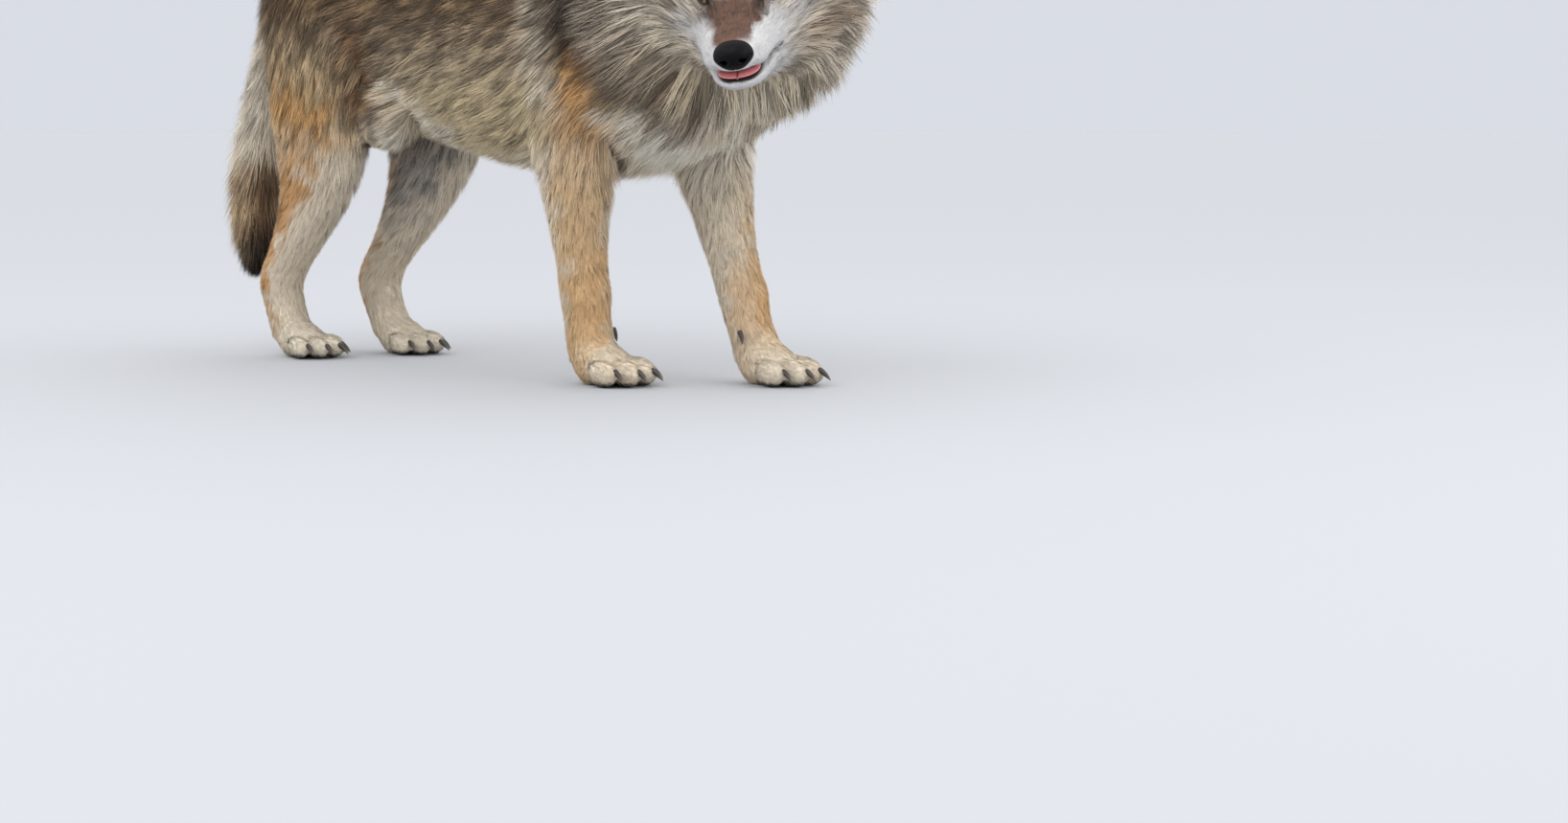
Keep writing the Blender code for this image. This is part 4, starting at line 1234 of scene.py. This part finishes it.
# Nose: a moist dome of bare black skin at the end of the muzzle, with two nostrils that run out
# into slits, a groove down the middle and a fine pebble all over.
def nose_rings():
    """A dome over a polar grid, narrower below, pressed in by bell curves at the nostrils.

    back = depth (1 - cos(a)^0.8), out = half sin(a) cos(t), up = half sin(a) sin(t).
    """
    turn = turns(120)
    angle = np.linspace(0.03, 1.75, 56)[:, None]
    out = NOSE_HALF[0] * np.sin(angle) * np.sign(np.cos(turn)) * np.abs(np.cos(turn)) ** 0.85
    up = NOSE_HALF[1] * np.sin(angle) * np.sign(np.sin(turn)) * np.abs(np.sin(turn)) ** 0.9
    out = out * (1.0 - 0.22 * ease(0.0, 1.0, -up / NOSE_HALF[1]))
    dome = np.sign(np.cos(angle)) * np.abs(np.cos(angle)) ** 0.8
    back = NOSE_DEPTH * (1.0 - dome) + 0 * turn
    flat = np.stack([out, up], axis=-1)
    for sign in SIDES.values():
        hole = np.exp(-(((out - sign * 0.0105) / 0.0034) ** 2) - ((up + 0.0035) / 0.0028) ** 2)
        slit = from_segment(flat, *np.array([[sign * 0.011, -0.0045], [sign * 0.0215, 0.0005]]))
        back = back + 0.0075 * hole + 0.003 * bell(slit, 0.0014)
        wing = ((out - sign * 0.0135) / 0.005) ** 2 + ((up - 0.003) / 0.004) ** 2
        back = back - 0.0012 * np.exp(-wing)
    groove = bell(out, 0.0011) * fade(-0.006, 0.008, up)
    back = back + 0.0016 * groove + 0.001 * bell(out, 0.004) * ease(0.006, 0.016, up)
    place = np.stack([back, out, up - NOSE_DROP], axis=-1)
    return on_head(place.reshape(-1, 3)).reshape(place.shape)


leather = attribute_material("nose leather", "nose_colour_and_shade", 0.45, 700.0, 0.3, 0.06)
leather.node_tree.nodes["Principled BSDF"].inputs["Coat Weight"].default_value = 0.06
leather.node_tree.nodes["Principled BSDF"].inputs["Coat Roughness"].default_value = 0.25
add_bump(leather, "ShaderNodeTexVoronoi", 850.0, 0.0004)
nose = add_tubes("nose_pad", [nose_rings()])
hidden = in_head(points_of(nose))
# The nostrils are painted darker than the leather round them: painted shade in their openings.
holes = ((np.abs(hidden[:, 1]) - 0.0105) / 0.004) ** 2
holes = np.exp(-holes - ((hidden[:, 2] + NOSE_DROP + 0.0035) / 0.0034) ** 2)
paint(nose.data, "nose_colour_and_shade", (1.0 - 0.85 * holes)[:, None] * np.array([0.003, 0.0026, 0.0031]))
mount(nose, "nose", leather)


# Tongue: moist pink flesh lying on the jaw between the lips, with a groove down its middle.
climb = np.arctan(LIP_CLIMB)
c, s = np.cos(climb), np.sin(climb)
MOUTH_AXES = HEAD_AXES @ np.array([[c, 0, -s], [0, 1, 0], [s, 0, c]])
TONGUE_RADII = (0.03, 0.0265, 0.0038)
tongue_middle = on_head((0.0, 0.0, LIP_FRONT)) + MOUTH_AXES @ np.array([0.044, 0.0, 0.0038])
tongue = add_tubes("tongue_flesh", [ball(tongue_middle, MOUTH_AXES, TONGUE_RADII, 96)])
place = (points_of(tongue) - tongue_middle) @ MOUTH_AXES
groove = bell(place[:, 1], 0.0012) * (place[:, 2] > -0.002)
place[:, 2] -= 0.0016 * groove + 0.1 * place[:, 1] ** 2 / 0.0265 - 0.0008
put_points(tongue, tongue_middle + place @ MOUTH_AXES.T)
# The groove is painted darker than the rest of the tongue: painted shade in it.
paint(tongue.data, "tongue_colour_and_shade", np.array([0.62, 0.19, 0.19]) * (1.0 - 0.55 * groove)[:, None])
flesh = attribute_material("tongue", "tongue_colour_and_shade", 0.35, 400.0, 0.15, 0.5)
add_bump(flesh, "ShaderNodeTexNoise", 1600.0, 0.0003)
mount(tongue, "tongue", flesh)


# Claws: blunt curved cones of dark horn, one at the end of each toe and a dew claw inside each
# foreleg. They are higher than wide and wear pale at the tip.
CLAW_LENGTH, DEW_CLAW_LENGTH = 0.02, 0.016
CLAW_RADIUS = 0.0042
CLAW_DROP = 0.22


def claw_rings(root, way, length):
    """Rings along a claw: radius by share of its length, dropping as the share squared."""
    way = unit(np.array(way))
    side = unit(np.cross(Z, way))
    up = np.cross(way, side)
    share = np.linspace(-0.15, 1.0, 14)[:, None, None]
    turn = turns(16)[None, :, None]
    taper = np.interp(share, (-0.15, 0.0, 0.55, 0.85, 1.0), (0.9, 1.0, 0.72, 0.42, 0.13))
    radius = CLAW_RADIUS * taper
    drop = CLAW_DROP * length * np.maximum(share, 0.0) ** 2
    middle = np.array(root) + share * length * way - drop * up
    return middle + radius * (0.8 * np.cos(turn) * side + np.sin(turn) * up)


horn = attribute_material("claw", "claw_colour", 0.35, 300.0, 0.25, 0.5)
add_bump(horn, "ShaderNodeTexNoise", 900.0, 0.0002)
claws = {}
for name, (middle, length) in paws.items():
    for k, (ahead, beside) in enumerate(TOES):
        root = middle + length * np.array([ahead + 0.19, beside, 0.165])
        claws[f"claw_{name}_{k + 1}"] = (root, (1.0, beside * 0.6, -0.42), CLAW_LENGTH)
for side, sign in SIDES.items():
    root = (FORE_FOOT[side] + 0.006, sign * (FORE_SPREAD - 0.038), 0.07)
    claws["claw_dew_" + side] = (root, (0.5, -sign * 0.08, -0.85), DEW_CLAW_LENGTH)
for name, (root, way, length) in claws.items():
    claw = add_tubes("horn" + name[4:], [claw_rings(root, way, length)])
    share = (points_of(claw) - root) @ unit(np.array(way)) / length
    tones = [(0.0, (0.03, 0.022, 0.017)), (0.6, (0.045, 0.034, 0.026)), (1.0, (0.16, 0.12, 0.09))]
    paint(claw.data, "claw_colour", blend_tones(share, tones))
    mount(claw, name, horn)


# The floor is plain and pale, and the light is soft, as under a bright overcast sky.
FLOOR_REACH = 40.0
floor = add_object("floor", bpy.data.meshes.new("floor"))
square = [(x * FLOOR_REACH, y * FLOOR_REACH, 0.0) for x, y in ((-1, -1), (1, -1), (1, 1), (-1, 1))]
floor.data.from_pydata(square, [], [(0, 1, 2, 3)])
pale = bpy.data.materials.new("pale floor")
pale.use_nodes = True
pale.node_tree.nodes["Principled BSDF"].inputs["Base Color"].default_value = (0.41, 0.42, 0.44, 1.0)
pale.node_tree.nodes["Principled BSDF"].inputs["Roughness"].default_value = 0.9
floor.data.materials.append(pale)


def light_sky():
    """An overcast sky: as bright as the floor at the horizon, and brighter overhead."""
    world = bpy.data.worlds.new("sky")
    world.use_nodes = True
    nodes, links = world.node_tree.nodes, world.node_tree.links
    place = nodes.new("ShaderNodeTexCoord")
    split = nodes.new("ShaderNodeSeparateXYZ")
    ramp = nodes.new("ShaderNodeValToRGB")
    ramp.color_ramp.elements[0].color = (0.43, 0.445, 0.48, 1.0)
    ramp.color_ramp.elements[0].position = 0.06
    ramp.color_ramp.elements[1].color = (0.97, 0.98, 1.0, 1.0)
    ramp.color_ramp.elements[1].position = 0.3
    links.new(place.outputs["Generated"], split.inputs["Vector"])
    links.new(split.outputs["Z"], ramp.inputs["Fac"])
    links.new(ramp.outputs["Color"], nodes["Background"].inputs["Color"])
    nodes["Background"].inputs["Strength"].default_value = 1.62
    bpy.context.scene.world = world


def add_lamp(name, place, aim, size, power):
    """A square soft lamp that faces a point."""
    lamp = add_object(name, bpy.data.lights.new(name, "AREA"))
    lamp.data.energy = power
    lamp.data.size = size
    lamp.location = place
    lamp.rotation_euler = (Vector(aim) - Vector(place)).to_track_quat("-Z", "Y").to_euler()


light_sky()
add_lamp("key", (0.5, -3.0, 3.4), (0.0, 0.0, 0.4), 2.6, 40.0)
add_lamp("fill", (3.4, 0.6, 2.2), (0.2, 0.0, 0.3), 2.6, 26.0)
bpy.context.scene.view_settings.view_transform = "Standard"
